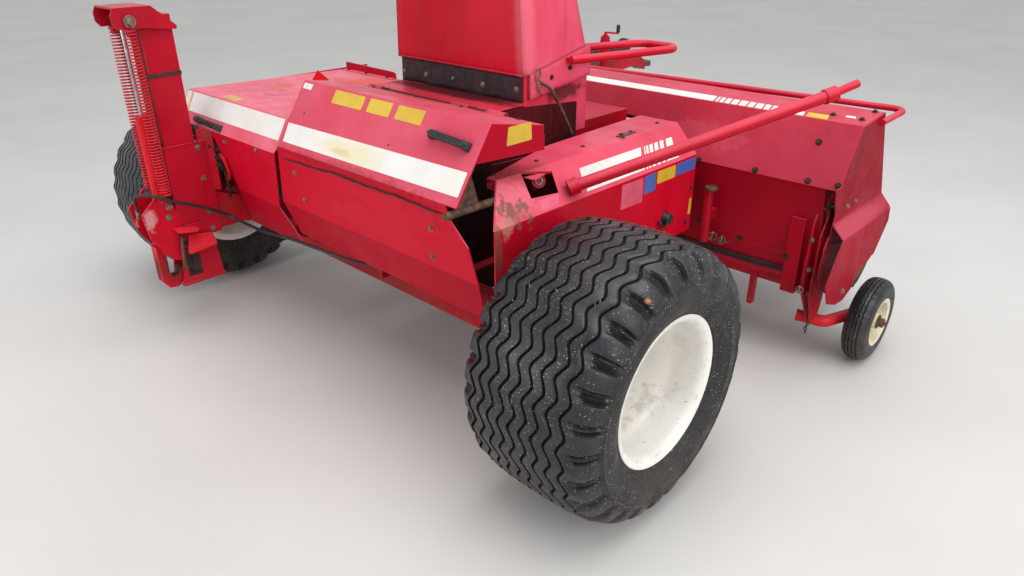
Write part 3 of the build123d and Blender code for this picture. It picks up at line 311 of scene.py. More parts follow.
# shaded copy of the red paint: the pick-up end plates get a darker red as painted shade
M["red_end"] = red("red_paint_end_shaded", base=lin(160, 20, 40), deep=lin(136, 15, 33), fade_and_sheen=0.3, dirt=0.6, gloss=0.45, coat=0.0, spec=0.08, blobs=(
    ((1500, 1050, 930), (30, 190, 120), lin(120, 54, 50), 0.45, 0.5),
    # painted highlight along the end plate's fold
    ((1520, 1100, 640), (40, 400, 46), lin(196, 84, 102), 0.6, 0.1)))
M["red_pick"] = red("red_paint_pickup", base=lin(176, 10, 36), deep=lin(152, 6, 26), fade_and_sheen=0.5, dirt=0.55, coat=0.0, blobs=(
    ((1340, 1150, 1008), (70, 40, 24), lin(176, 60, 60), 0.55, 0.5),
    ((900, 1040, 880), (200, 60, 60), lin(206, 90, 104), 0.32, 0.6)))
M["red_tower"] = red("red_paint_tower", base=lin(198, 20, 48), deep=lin(172, 10, 34), fade_and_sheen=0.25, dirt=0.45, gloss=0.34, rear_shade_and_dirt=0.85)
M["red_carriage"] = red("red_paint_carriage", fade_and_sheen=0.25, dirt=0.5, gloss=0.34, wear=0.8, blobs=(
    # painted shade: dark patch in the hook cavity under the jaw plate
    ((-700, -500, 320), (34, 80, 112), lin(66, 46, 38), 1.0, 0.12),
    ((-634, -560, 560), (12, 30, 60), lin(226, 190, 190), 0.5, 0.5)))
M["red_bright"] = red("red_paint_newer", base=lin(222, 28, 36), deep=lin(206, 16, 30), fade_and_sheen=0.2, dirt=0.25, gloss=0.32, wear=0.3, blobs=(
    ((1640, 1360, 175), (30, 40, 40), lin(104, 74, 54), 1.0, 0.15), ((-740, 1360, 175), (30, 40, 40), lin(104, 74, 54), 1.0, 0.15)))
M["red_tube"] = red("red_paint_tube", base=lin(200, 14, 40), fade_and_sheen=0.40, dirt=0.3, gloss=0.36, wear=1.0, wavy=0.0)
# painted shade: near-black patch on the chassis at the axle, under the side panel
M["red_low"] = red("red_paint_chassis", blobs=(((700, 60, 520), (30, 190, 130), lin(34, 12, 14), 0.95, 0.15),), deep=lin(140, 4, 18), fade_and_sheen=0.25, dirt=0.85, gloss=0.45, wear=0.8, coat=0.0, low=0.8)
M["steel"] = flat("bare_steel", lin(118, 108, 100), lin(82, 70, 62), (0.38, 0.62), 0.75, 38, (0.35, 0.0008), dirt=0.35)
M["rusty"] = flat("rusty_steel", lin(112, 84, 66), lin(70, 46, 36), (0.55, 0.8), 0.35, 46, (0.5, 0.0012), dirt=0.3)
M["bolt"] = flat("zinc_bolt", lin(150, 138, 118), lin(96, 72, 54), (0.34, 0.6), 0.7, 60, (0.35, 0.0006), wearc=lin(190, 180, 160))
M["grease"] = flat("greasy_steel", lin(38, 22, 22), lin(62, 30, 26), (0.35, 0.7), 0.3, 26, (0.5, 0.0014), dirt=0.3)
M["bolt_dark"] = flat("dark_bolt", lin(66, 44, 40), lin(40, 28, 28), (0.5, 0.75), 0.35, 60, (0.4, 0.0008), dirt=0.2)
M["chrome"] = flat("chrome_rod", lin(206, 208, 210), lin(176, 178, 182), (0.10, 0.24), 1.0, 30, (0.05, 0.0003))
M["black"] = flat("black_plastic", lin(34, 33, 35), lin(22, 21, 23), (0.42, 0.62), 0.0, 55, (0.3, 0.0006), dirt=0.18, wearc=lin(72, 70, 70))
M["rubber"] = flat("rubber_strip", lin(52, 30, 32), lin(32, 19, 21), (0.55, 0.8), 0.0, 24, (0.5, 0.0015), dirt=0.25)
M["hose"] = flat("hose_cover", lin(40, 40, 42), lin(24, 24, 26), (0.45, 0.65), 0.0, 50, (0.35, 0.0007), dirt=0.30)
M["grass"] = flat("dry_grass", lin(196, 184, 128), lin(150, 146, 92), (0.6, 0.8), 0.0, 80, (0.2, 0.0004))
M["leaf"] = flat("dry_leaf", lin(176, 124, 92), lin(132, 84, 58), (0.6, 0.8), 0.0, 120, (0.4, 0.0006))
M["galv"] = flat("galvanised", lin(176, 176, 172), lin(140, 138, 132), (0.36, 0.55), 0.6, 34, (0.2, 0.0006), dirt=0.2)
M["white"] = decal("film_white", lin(228, 225, 220), lin(220, 216, 204), 0.15, 0.10, spots=(
    ((330, -232, 965), (210, 40, 40), lin(226, 208, 152), 0.60, 0.25),
    ((300, -236, 955), (60, 14, 14), lin(206, 176, 110), 0.5, 0.5),
    ((-900, -190, 990), (24, 20, 30), lin(206, 120, 60), 0.5, 0.3)))
M["white_worn"] = decal("film_white_worn", lin(226, 222, 214), lin(208, 196, 188), 0.9, 0.45)
M["yellow"] = decal("film_yellow", lin(214, 178, 44), lin(196, 156, 40), 0.35, 0.35)
M["blue"] = decal("film_blue", lin(52, 96, 176), lin(74, 112, 176), 0.3, 0.30)
M["pink"] = decal("film_pink", lin(216, 96, 120), lin(206, 70, 96), 0.4, 0.3)


def tyre_mat(name, a, b, dust, dustc, rough=(0.45, 0.7), bumpy=0.5):
    m = Mat(name, rough=rough[0], spec=0.48)
    c = m.mix(m.rng(m.noise(14.0, 5, 0.6), 0.3, 0.7), a, b)
    d = m.mul(m.rng(m.noise(11.0, 8, 0.72), 0.42, 0.74), dust)
    c = m.mix(d, c, dustc)
    c = m.mix(m.mul(m.rng(m.noise(210.0, 2, 0.5), 0.655, 0.70), m.rng(m.noise(9.0, 4, 0.7), 0.38, 0.58), min(dust * 2.4, 0.85)), c, lin(186, 180, 166))
    c = m.mix(m.mul(m.rng(m.z, 0.30, 0.02), m.rng(m.noise(8.0, 6, 0.7), 0.35, 0.65), 0.55), c, lin(88, 76, 64))
    m.color(c)
    m.rough(m.math("ADD", m.rng(m.noise(20.0, 5), 0.3, 0.7, rough[0], rough[1]), m.math("MULTIPLY", d, 0.3), clamp=True))
    m.bump((m.noise(60.0, 5, 0.65), bumpy, 0.0016), (m.noise(420.0, 3, 0.6), 0.35, 0.0005))
    return m.m


M["tread"] = tyre_mat("tyre_rubber", lin(35, 35, 39), lin(20, 20, 23), 0.34, lin(66, 60, 57), (0.27, 0.50))
# groove and hollow finishes are much darker than the tread: partly dirt, partly painted shade in the grooves and the
# notches between shoulder lugs
M["groove"] = tyre_mat("tyre_groove", lin(10, 10, 11), lin(15, 14, 14), 0.15, lin(36, 32, 28), (0.75, 0.92))
M["hollow"] = tyre_mat("tyre_hollow", lin(17, 17, 19), lin(12, 12, 13), 0.3, lin(44, 38, 33), (0.5, 0.8))
M["side"] = tyre_mat("tyre_side", lin(25, 25, 27), lin(16, 16, 18), 0.35, lin(56, 50, 45), (0.40, 0.64), 0.8)


def cream(name, blobs=(), base=lin(226, 222, 208), alt=lin(212, 206, 188)):
    m = Mat(name, rough=0.34, coat=0.25, coat_rough=0.2)
    c = m.mix(m.rng(m.noise(4.0, 4, 0.6), 0.35, 0.7), base, alt)
    c = m.mix(m.mul(m.rng(m.noise(7.0, 7, 0.7), 0.50, 0.76), 0.45), c, lin(176, 164, 142))
    c = m.mix(m.mul(m.rng(m.noise(90.0, 3, 0.5), 0.66, 0.74), 0.5), c, lin(132, 108, 84))
    ed = m.edge(0.004)
    c = m.mix(m.mul(ed, m.rng(m.noise(38.0, 5, 0.7), 0.50, 0.66), 0.35), c, lin(140, 110, 88))
    for cen, rad, colr, st_, jit in blobs:
        c = m.mix(m.mul(m.blob(cen, rad, 0.5, jit, 40.0), st_), c, colr)
    m.color(c)
    m.rough(m.rng(m.noise(16.0, 5), 0.3, 0.7, 0.30, 0.52))
    m.bump((m.noise(5.0, 3), 0.15, 0.002), (m.noise(200.0, 4), 0.12, 0.0004))
    return m.m


M["cream"] = cream("cream_paint", base=lin(240, 237, 232), alt=lin(229, 224, 214), blobs=(
    ((1470, -150, 560), (60, 34, 46), lin(126, 84, 60), 0.75, 0.6),
    ((1440, -120, 470), (70, 50, 60), lin(150, 140, 124), 0.55, 0.6),
    ((1330, 0, 300), (60, 160, 60), lin(178, 168, 148), 0.55, 0.5)))
M["cream_small"] = cream("cream_paint_small", base=lin(228, 222, 196), alt=lin(212, 202, 172))


# --------------------------------------------------------------------------
# geometry helpers; every point is in machine millimetres
# --------------------------------------------------------------------------
V = Vector


class Piece:
    def __init__(s):
        s.v, s.f, s.sm, s.mi = [], [], [], []

    def add(s, verts, faces, smooth=False, mi=0):
        b = len(s.v); s.v += [tuple(p) for p in verts]
        for f in faces:
            s.f.append(tuple(b + i for i in f)); s.sm.append(smooth); s.mi.append(mi)

    def quadgrid(s, rows, closed_u=False, closed_v=False, smooth=True, mi=0, mats=None):
        """rows[j][i]: a grid of points; u runs along a row, v from row to row."""
        nu, nv = len(rows[0]), len(rows); b = len(s.v)
        for r in rows: s.v += [tuple(p) for p in r]
        for j in range(nv if closed_v else nv - 1):
            j2 = (j + 1) % nv
            for i in range(nu if closed_u else nu - 1):
                i2 = (i + 1) % nu
                s.f.append((b + j * nu + i, b + j * nu + i2, b + j2 * nu + i2, b + j2 * nu + i))
                s.sm.append(smooth); s.mi.append(mats[j] if mats else mi)
        return b

    def prism(s, poly, h, mi=0):
        """A flat polygon pushed along the vector h."""
        n = len(poly); poly = [V(p) for p in poly]; h = V(h)
        s.add(poly + [p + h for p in poly],
              [tuple(range(n))[::-1], tuple(range(n, 2 * n))] + [(i, (i + 1) % n, n + (i + 1) % n, n + i) for i in range(n)], False, mi)

    def rod(s, pts, r, segs=14, caps=True, mi=0, flat_=1.0):
        """A round bar along points; r may be a list. flat_ squashes its section across."""
        pts = [V(p) for p in pts]; n = len(pts); rs = r if isinstance(r, (list, tuple)) else [r] * n
        t0 = (pts[1] - pts[0]).normalized()
        u = t0.cross(V((0, 0, 1)) if abs(t0.z) < 0.9 else V((1, 0, 0))).normalized()
        rings = []
        for i, p in enumerate(pts):
            t = ((pts[min(i + 1, n - 1)] - pts[max(i - 1, 0)])).normalized()
            u = (u - t * u.dot(t)).normalized(); w = t.cross(u)
            rings.append([p + (u * math.cos(a) + w * math.sin(a) * flat_) * rs[i] for a in [2 * math.pi * k / segs for k in range(segs)]])
        b = s.quadgrid(rings, closed_u=True, mi=mi)
        if caps:
            s.f.append(tuple(range(b, b + segs))[::-1]); s.sm.append(False); s.mi.append(mi)
            e = b + (n - 1) * segs
            s.f.append(tuple(range(e, e + segs))); s.sm.append(False); s.mi.append(mi)

    def lathe(s, c, axis, prof, segs=24, mi=0, smooth=True):
        """prof: (distance along the axis, radius) pairs."""
        c = V(c); t = V(axis).normalized()
        u = t.cross(V((0, 0, 1)) if abs(t.z) < 0.9 else V((1, 0, 0))).normalized(); w = t.cross(u)
        rings = [[c + t * a + (u * math.cos(q) + w * math.sin(q)) * max(r, 0.01) for q in [2 * math.pi * k / segs for k in range(segs)]] for a, r in prof]
        s.quadgrid(rings, closed_u=True, smooth=smooth, mi=mi)
        b = len(s.v) - len(prof) * segs
        s.f.append(tuple(range(b, b + segs))[::-1]); s.sm.append(False); s.mi.append(mi)
        e = b + (len(prof) - 1) * segs
        s.f.append(tuple(range(e, e + segs))); s.sm.append(False); s.mi.append(mi)

    def bolt(s, p, n, af=17.0, washer=True, mi=0, turn=0.3, dome=False):
        """A hexagon head on its washer, standing on the point p."""
        p = V(p); n = V(n).normalized(); af *= 0.68; h = af * 0.5
        u = n.cross(V((0, 0, 1)) if abs(n.z) < 0.9 else V((1, 0, 0))).normalized(); w = n.cross(u)
        z = -0.6
        if washer:
            s.lathe(p, n, [(z, af * 0.92), (1.6, af * 0.92), (2.0, af * 0.88)], 20, mi, True); z = 2.0
        if dome:
            s.lathe(p, n, [(z - 1, af * 0.62), (z + h * 0.3, af * 0.58), (z + h * 0.62, af * 0.42), (z + h * 0.8, af * 0.2), (z + h * 0.84, 0.02)], 18, mi)
            return
        R = af / 2 / math.cos(math.pi / 6)
        ring = lambda r, zz: [p + n * zz + (u * math.cos(a) + w * math.sin(a)) * r for a in [turn + math.pi / 3 * k for k in range(6)]]
        rr = [ring(R, z - 0.5), ring(R, z + h * 0.78), ring(R * 0.86, z + h)]
        b = s.quadgrid(rr, closed_u=True, smooth=False, mi=mi)
        s.f.append(tuple(range(b + 12, b + 18))); s.sm.append(False); s.mi.append(mi)
        s.f.append(tuple(range(b, b + 6))[::-1]); s.sm.append(False); s.mi.append(mi)

    def make(s, name, body, mats, bevel=0.0, sub=0):
        me = bpy.data.meshes.new(name)
        me.from_pydata([P(*p) for p in s.v], [], s.f)
        me.polygons.foreach_set("use_smooth", s.sm)
        me.polygons.foreach_set("material_index", s.mi)
        me.update()
        ob = bpy.data.objects.new(name, me); bpy.context.scene.collection.objects.link(ob)
        for k in (mats if isinstance(mats, (list, tuple)) else [mats]): me.materials.append(M[k])
        if bevel:
            b = ob.modifiers.new("bevel", "BEVEL"); b.width = bevel / 1000; b.segments = 2
            b.limit_method = "ANGLE"; b.angle_limit = math.radians(40); b.harden_normals = False
        if body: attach(ob, body)
        return ob


def catmull(pts, n=8):
    pts = [V(p) for p in pts]; out = []
    q = [pts[0] * 2 - pts[1]] + pts + [pts[-1] * 2 - pts[-2]]
    for i in range(1, len(q) - 2):
        a, b, c, d = q[i - 1], q[i], q[i + 1], q[i + 2]
        for k in range(n):
            t = k / n
            out.append(0.5 * ((2 * b) + (c - a) * t + (2 * a - 5 * b + 4 * c - d) * t * t + (3 * b - a - 3 * c + d) * t ** 3))
    out.append(pts[-1])
    return out


def bend(pts, r, n=6):
    """A line with its corners rounded to r, for bars bent on a former."""
    pts = [V(p) for p in pts]; out = [pts[0]]
    for a, b, c in zip(pts, pts[1:], pts[2:]):
        u, w = (a - b).normalized(), (c - b).normalized()
        d = min(r, (a - b).length * 0.45, (c - b).length * 0.45)
        for k in range(n + 1):
            t = k / n
            out.append((b + u * d) * (1 - t) ** 2 + b * 2 * t * (1 - t) + (b + w * d) * t * t)
    return out + [pts[-1]]


class Plane:
    def __init__(s, p, n):
        s.p, s.n = V(p), V(n).normalized()

    def on(s, q, off=0.0):
        q = V(q)
        return q - s.n * ((q - s.p).dot(s.n) - off)


COV_S = Plane((0, -119, 1129), (0, -214, 146))
COV_L = Plane((0, -265, 915), (0, -270, -79))
COV_T = Plane((0, 120, 1083), (0, 46, 239))
COV_B = Plane((0, -186, 645), (0, -129, -29))
COV_E = Plane((897, 0, 0), (1, 0, 0))
HOOD_S = Plane((0, -190, 996), (0, -116, 75))
HOOD_L = Plane((0, -265, 880), (0, -270, -79))
HOOD_T = Plane((0, 560, 1000), (0, -4, 750))
SP_S = Plane((850, 0, 937), (107, 0, 100))
SP_V = Plane((950, 0, 0), (1, 0, 0))
SP_T = Plane((0, 0, 937), (0, 0, 1))
PU_R = Plane((0, 1000, 786), (0, -216, 100))
PU_T = Plane((0, 1100, 1002), (0, -20, 178))
PU_F = Plane((0, 1278, 1022), (0, 227, 108))


def film(name, plane, corners, mat, body, r=4.0, thick=0.45, parts=None, wob=0.0):
    """A stuck-on strip or label with rounded corners, lying on its sheet."""
    pc = Piece()
    for cs in ([corners] if parts is None else parts):
        q = [plane.on(c, 0.15) for c in cs]
        poly = []
        for i in range(len(q)):
            a, b, c = q[i - 1], q[i], q[(i + 1) % len(q)]
            u, w = (a - b), (c - b); d = min(r, u.length * 0.35, w.length * 0.35)
            u.normalize(); w.normalize()
            for k in range(4):
                t = k / 3
                poly.append((b + u * d) * (1 - t) ** 2 + b * 2 * t * (1 - t) + (b + w * d) * t * t)
        # the winding has to face outwards
        nn = (poly[3] - poly[0]).cross(poly[8] - poly[3])
        if nn.dot(plane.n) < 0: poly.reverse()
        pc.prism(poly, plane.n * thick)
    return pc.make(name, body, mat)


# --------------------------------------------------------------------------
# the lift hose first: one curve through the CAD route's points
# --------------------------------------------------------------------------
ROUTE = [(-738, -566, 538), (-738, -566, 598), (-704, -579, 645), (-650, -572, 666), (-616, -535, 661), (-606, -488, 636),
         (-610, -430, 606), (-614, -375, 580), (-614, -320, 550), (-616, -268, 517), (-606, -228, 488), (-570, -204, 468),
         (-500, -198, 464), (-400, -201, 470), (-290, -199, 484), (-180, -202, 500), (-70, -199, 508), (30, -196, 512),
         (115, -178, 505), (175, -158, 495), (230, -132, 492), (280, -114, 494), (322, -110, 495)]
cu = bpy.data.curves.new("lift_hose_line", "CURVE"); cu.dimensions = "3D"
spl = cu.splines.new("NURBS"); spl.points.add(len(ROUTE) - 1)
for pt, q in zip(spl.points, ROUTE): pt.co = (*P(*q), 1)
spl.order_u = 3; spl.use_endpoint_u = True; spl.resolution_u = 8
cu.bevel_depth = 0.007; cu.bevel_resolution = 4; cu.use_fill_caps = True
tmp = bpy.data.objects.new("lift_hose_line", cu); bpy.context.scene.collection.objects.link(tmp)
bpy.context.view_layer.update()
hm = bpy.data.meshes.new_from_object(tmp.evaluated_get(bpy.context.evaluated_depsgraph_get()))
bpy.data.objects.remove(tmp)
hose = bpy.data.objects.new("lift_hose", hm); bpy.context.scene.collection.objects.link(hose)
hm.materials.clear(); hm.materials.append(M["hose"])
for p_ in hm.polygons: p_.use_smooth = True
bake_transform(hose)
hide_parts("hitch_hose")

f1 = Piece()
f1.lathe((-738, -566, 536), (0, 0, 1), [(0, 9.5), (14, 9.5), (15, 9), (16, 8.6), (44, 8.6), (46, 7.4)], 20)
f1.make("hose_ferrule_lift", "hitch_carriage", "bolt")
f2 = Piece()
f2.lathe((328, -110, 495), (-1, 0.01, 0), [(0, 10.5), (10, 10.5), (11, 9.2), (12, 8.7), (40, 8.7), (42, 7.5)], 20)
f2.make("hose_ferrule_frame", "root", "bolt")

# --------------------------------------------------------------------------
# CAD nodes: finishes, and rounded-off folds and edges
# --------------------------------------------------------------------------
g = bpy.data.node_groups.new("shade_by_angle", "GeometryNodeTree")
g.interface.new_socket("Geometry", in_out="INPUT", socket_type="NodeSocketGeometry")
g.interface.new_socket("Geometry", in_out="OUTPUT", socket_type="NodeSocketGeometry")
gi, go = g.nodes.new("NodeGroupInput"), g.nodes.new("NodeGroupOutput")
ra = g.nodes.new("GeometryNodeRemoveAttribute"); ra.inputs["Name"].default_value = "custom_normal"
s_f = g.nodes.new("GeometryNodeSetShadeSmooth"); s_f.domain = "FACE"; s_f.inputs["Shade Smooth"].default_value = True
s_e = g.nodes.new("GeometryNodeSetShadeSmooth"); s_e.domain = "EDGE"; s_e.inputs["Shade Smooth"].default_value = False
ea = g.nodes.new("GeometryNodeInputMeshEdgeAngle")
cmp_ = g.nodes.new("FunctionNodeCompare"); cmp_.data_type = "FLOAT"; cmp_.operation = "GREATER_THAN"
cmp_.inputs[1].default_value = math.radians(28)
g.links.new(ea.outputs["Unsigned Angle"], cmp_.inputs[0])
g.links.new(gi.outputs[0], ra.inputs["Geometry"]); g.links.new(ra.outputs["Geometry"], s_f.inputs["Geometry"])
g.links.new(s_f.outputs["Geometry"], s_e.inputs["Geometry"]); g.links.new(cmp_.outputs["Result"], s_e.inputs["Selection"])
g.links.new(s_e.outputs["Geometry"], go.inputs[0])


def soften(o, width):
    w = o.modifiers.new("weld", "WELD"); w.merge_threshold = 2e-5
    if width:
        d = o.modifiers.new("flats", "DECIMATE"); d.decimate_type = "DISSOLVE"; d.angle_limit = math.radians(0.4)
    n = o.modifiers.new("shade", "NODES"); n.node_group = g3 if o.name in CRISP else g
    if width:
        b = o.modifiers.new("round", "BEVEL"); b.width = width / 1000; b.segments = 2; b.limit_method = "ANGLE"
        b.angle_limit = math.radians(15 if o.name in CRISP else 28); b.harden_normals = o.name not in CRISP; b.use_clamp_overlap = True; b.loop_slide = False


g3 = g.copy(); g3.name = "shade_by_small_angle"
for nd in g3.nodes:
    if nd.bl_idname == "FunctionNodeCompare": nd.inputs[1].default_value = math.radians(2.6)
CRISP = {"right_rear_cover", "left_hood", "pickup_end_right", "pickup_end_left", "pickup_hood", "right_side_panel", "left_side_panel"}

slots = {s["node"]: s["material_slot"] for s in frame["record"]["subparts"]}
BY_SLOT = {"red_paint": "red", "cream_paint": "cream", "bare_steel": "steel", "chrome_rod": "chrome", "tyre_rubber": "side", "black_plastic": "black"}
LOOK = {"right_rear_cover": "red_cover", "left_hood": "red_hood", "right_side_panel": "red_side", "left_side_panel": "red",
        "chute_foot": "red_chute", "spout_base": "red_chute", "spout_bend": "red_chute", "spout_end": "red_chute",
        "spout_deflector": "red_chute", "chute_neck": "red_neck", "pickup_hood": "red_pick", "pickup_end_right": "red_end",
        "pickup_end_left": "red_end", "pickup_frame": "red_pick", "tower_column": "red_tower", "tower_head": "red_tower",
        "hitch_carriage": "red_carriage", "hitch_cylinder": "red_bright", "gauge_arm_right": "red_bright", "gauge_arm_left": "red_bright",
        "long_guard_bar": "red_tube", "front_loop_guard": "red_tube", "pickup_guard_tube": "red_tube", "main_frame": "red_low",
        "axle": "red_low", "drawbar": "red_low", "drawbar_bracket": "red_low", "rotor_housing": "red_inner", "feed_housing": "red_low",
        "pickup_reel": "red_low", "cover_tube": "rusty", "cutting_drum": "rusty", "jack_leg": "galv", "drawbar_eye": "steel",
        "stripper_bands": "steel", "pickup_tines": "steel", "gauge_rim_right": "cream_small", "gauge_rim_left": "cream_small",
        "main_gearbox": "steel", "jack_tube": "red_low", "hose_stand": "red_tube", "hitch_rod": "chrome"}
ROUND = {"right_rear_cover": 1.9, "left_hood": 1.9, "right_side_panel": 2.2, "left_side_panel": 2.2, "chute_foot": 1.8, "chute_neck": 1.8,
         "spout_base": 1.4, "spout_bend": 1.4, "spout_end": 1.4, "spout_deflector": 1.4, "pickup_hood": 1.9, "pickup_end_right": 1.9,
         "pickup_end_left": 1.9, "pickup_frame": 1.6, "tower_column": 2.0, "tower_head": 2.0, "hitch_carriage": 1.6, "main_frame": 2.0,
         "drawbar": 2.5, "drawbar_bracket": 2.0, "rotor_housing": 1.8, "feed_housing": 1.8, "main_gearbox": 2.0, "axle": 2.5,
         "gauge_arm_right": 1.2, "gauge_arm_left": 1.2}
for n_, o in frame["nodes"].items():
    o.data.materials.clear(); o.data.materials.append(M[LOOK.get(n_, BY_SLOT[slots[n_]])])
    soften(o, ROUND.get(n_, 0))


# --------------------------------------------------------------------------
# tyres: zigzag-ribbed tread, shoulder lugs, hollow carcass
# --------------------------------------------------------------------------
def crown(x):
    x = abs(x); k = [(0, 433), (75, 431), (150, 424), (200, 411), (224, 390)]
    for (a, ra_), (b, rb_) in zip(k, k[1:]):
        if x <= b: return ra_ + (rb_ - ra_) * (x - a) / (b - a)
    return 390.0


def big_tyre(name, side, node, body):
    """x, radius, share of the zigzag, depth of the notch between shoulder lugs, finish"""
    half = []
    for x, r, zz, lug in ((170, None, 1.0, 0), (176, None, 0.9, 5), (183, None, 0.6, 14), (192, None, 0.3, 21), (203, 408.5, 0, 22), (213, 400, 0, 22), (221.5, 390, 0, 21),
                          (228, 378, 0, 19), (232.5, 366, 0, 16), (235.5, 356, 0, 11), (237.5, 349, 0, 3), (238.2, 344, 0, 0), (241.4, 341, 0, 0), (241.8, 335, 0, 0), (239.6, 331, 0, 0),
                          (241.6, 318, 0, 0), (240.4, 304, 0, 0), (240.6, 300, 0, 0), (237.6, 297, 0, 0), (233.6, 283, 0, 0), (227.4, 269, 0, 0), (219, 257, 0, 0), (215.4, 252, 0, 0),
                          (214.6, 246, 0, 0), (209.5, 241, 0, 0), (206, 233, 0, 0), (203, 216.4, 0, 0)):
        half.append((x, crown(x) if r is None else r, zz, lug, 2 if r and r < 350 else 0))
    cols = [(-x, r, zz, lug, mt) for x, r, zz, lug, mt in reversed(half)]
    for k in range(9):
        xk = -160 + 40 * k
        for dx, dd, mt in ((-6.0, 0.0, 0), (-5.1, 0.8, 1), (-3.8, 11.0, 1), (3.8, 11.0, 1), (5.1, 0.8, 0), (6.0, 0.0, 0)):
            cols.append((xk + dx, crown(xk) - dd, 1.0, 0, mt))
        if k < 8: cols += [(xk + 13, crown(xk + 13) + 0.2, 1.0, 0, 0), (xk + 27, crown(xk + 27) + 0.2, 1.0, 0, 0)]
    cols += half
    for x, r in ((196, 216.4), (188, 222), (205, 290), (212, 340), (196, 380), (150, 400), (0, 409), (-150, 400), (-196, 380), (-212, 340), (-205, 290), (-188, 222), (-196, 216.4)):
        cols.append((x, r, 0.0, 0, 2))
    PER, NS = 14, 28 * 14
    wave = [-0.97, -0.84, -0.50, -0.10, 0.26, 0.60, 0.86, 0.97, 0.84, 0.50, 0.10, -0.26, -0.60, -0.86]
    gap = [0.95, 0.9, 0.35, 0.85, 1, 0.12, 0, 0, 0, 0, 0, 0, 0.03, 0.15]
    gapl = gap[7:] + gap[:7]
    rows = []
    for x, r, zz, lug, mt in cols:
        row = []
        for i in range(NS):
            a = 2 * math.pi * i / NS; ph = i % PER
            gg = (gap if x > 0 else gapl)[ph] * lug
            w = min(max((abs(x) - 186) / 44.0, 0.0), 1.0)
            xx = x + (12.0 + 1.2 * noise.noise(V((x * 0.05, i * 0.21, 3.0)))) * zz * wave[ph] - math.copysign(gg * 0.95 * w, x)
            rr = r - gg * (1 - 0.80 * w)
            if r > 348: rr += -1.0 + 0.9 * noise.noise(V((x * 0.03, math.cos(a) * 14, math.sin(a) * 14)))
            row.append((side * (1265 + xx), math.cos(a) * rr, 433 + math.sin(a) * rr))
        rows.append(row)
    pc = Piece(); n = len(rows); mats = []
    for j in range(n):
        a_, b_ = cols[j], cols[(j + 1) % n]
        mats.append(2 if (a_[4] == 2 or b_[4] == 2) else a_[4])
    pc.quadgrid(rows, closed_u=True, closed_v=True, mats=mats)
    for j in range(n):                           # hollows between the shoulder lugs get the dark hollow finish: painted shade in the notches, partly wet dirt
        for i in range(NS):
            gp = gap if cols[j][0] > 0 else gapl
            if min(gp[i % PER], gp[(i + 1) % PER]) > 0.4 and cols[j][3] > 8 and cols[(j + 1) % n][3] > 8: pc.mi[j * NS + i] = 3
    if side > 0: pc.f = [f[::-1] for f in pc.f]
    ob = pc.make(name, body, ["tread", "groove", "side", "hollow"])
    n_ = ob.modifiers.new("shade", "NODES"); n_.node_group = g2
    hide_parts(node)
    return ob


g2 = g.copy(); g2.name = "shade_by_angle_wide"
for nd in g2.nodes:
    if nd.bl_idname == "FunctionNodeCompare": nd.inputs[1].default_value = math.radians(33)
big_tyre("tyre_right_tread", 1, "tyre_right", "wheel_right")
big_tyre("tyre_left_tread", -1, "tyre_left", "wheel_left")


def small_tyre(name, gx, node, body):
    prof = [(-40, 91.4, 2), (-43, 97, 2), (-46.5, 108, 2), (-48, 124, 2), (-47.5, 138, 2), (-45, 150, 2), (-43.5, 153, 2), (-40, 160.5, 0), (-34, 166.5, 0)]
    tr = []
    for k in range(4):
        xk = -21 + 14 * k; c0 = 175 - 8 * (abs(xk) / 34) ** 2
        tr += [(xk - 2.6, c0, 1), (xk - 1.7, c0 - 4.2, 1), (xk + 1.7, c0 - 4.2, 0), (xk + 2.6, c0, 0)]
        if k < 3: tr.append((xk + 7, 175 - 8 * (abs(xk + 7) / 34) ** 2 - 0.0, 0))
    prof += tr + [(-x, r, m_) for x, r, m_ in reversed(prof)]
    prof += [(36, 91.4, 2), (34, 100, 2), (38, 130, 2), (24, 158, 2), (-24, 158, 2), (-38, 130, 2), (-34, 100, 2), (-36, 91.4, 2)]
    NS = 160; rows = []
    for x, r, mt in prof:
        row = []
        for i in range(NS):
            a = 2 * math.pi * i / NS; ph = i % 5
            cut = (3.0 if ph == 0 else 0.0) if (mt == 0 and 24 < abs(x) < 42) else 0.0
            zz = (1.1 if (i % 4) < 2 else -1.1) if abs(x) < 25 and r > 160 else 0.0
            row.append((gx + x + zz, 1360 + math.cos(a) * (r - cut), 175 + math.sin(a) * (r - cut)))
        rows.append(row)
    pc = Piece(); n = len(prof)
    pc.quadgrid(rows, closed_u=True, closed_v=True, mats=[max(prof[j][2], 0) if not (prof[j][2] == 2 or prof[(j + 1) % n][2] == 2) else 2 for j in range(n)])
    pc.f = [f[::-1] for f in pc.f]
    ob = pc.make(name, body, ["tread", "groove", "side"])
    n_ = ob.modifiers.new("shade", "NODES"); n_.node_group = g2
    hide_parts(node)


small_tyre("gauge_tyre_right_tread", 1580, "gauge_tyre_right", "gauge_wheel_right")
small_tyre("gauge_tyre_left_tread", -680, "gauge_tyre_left", "gauge_wheel_left")

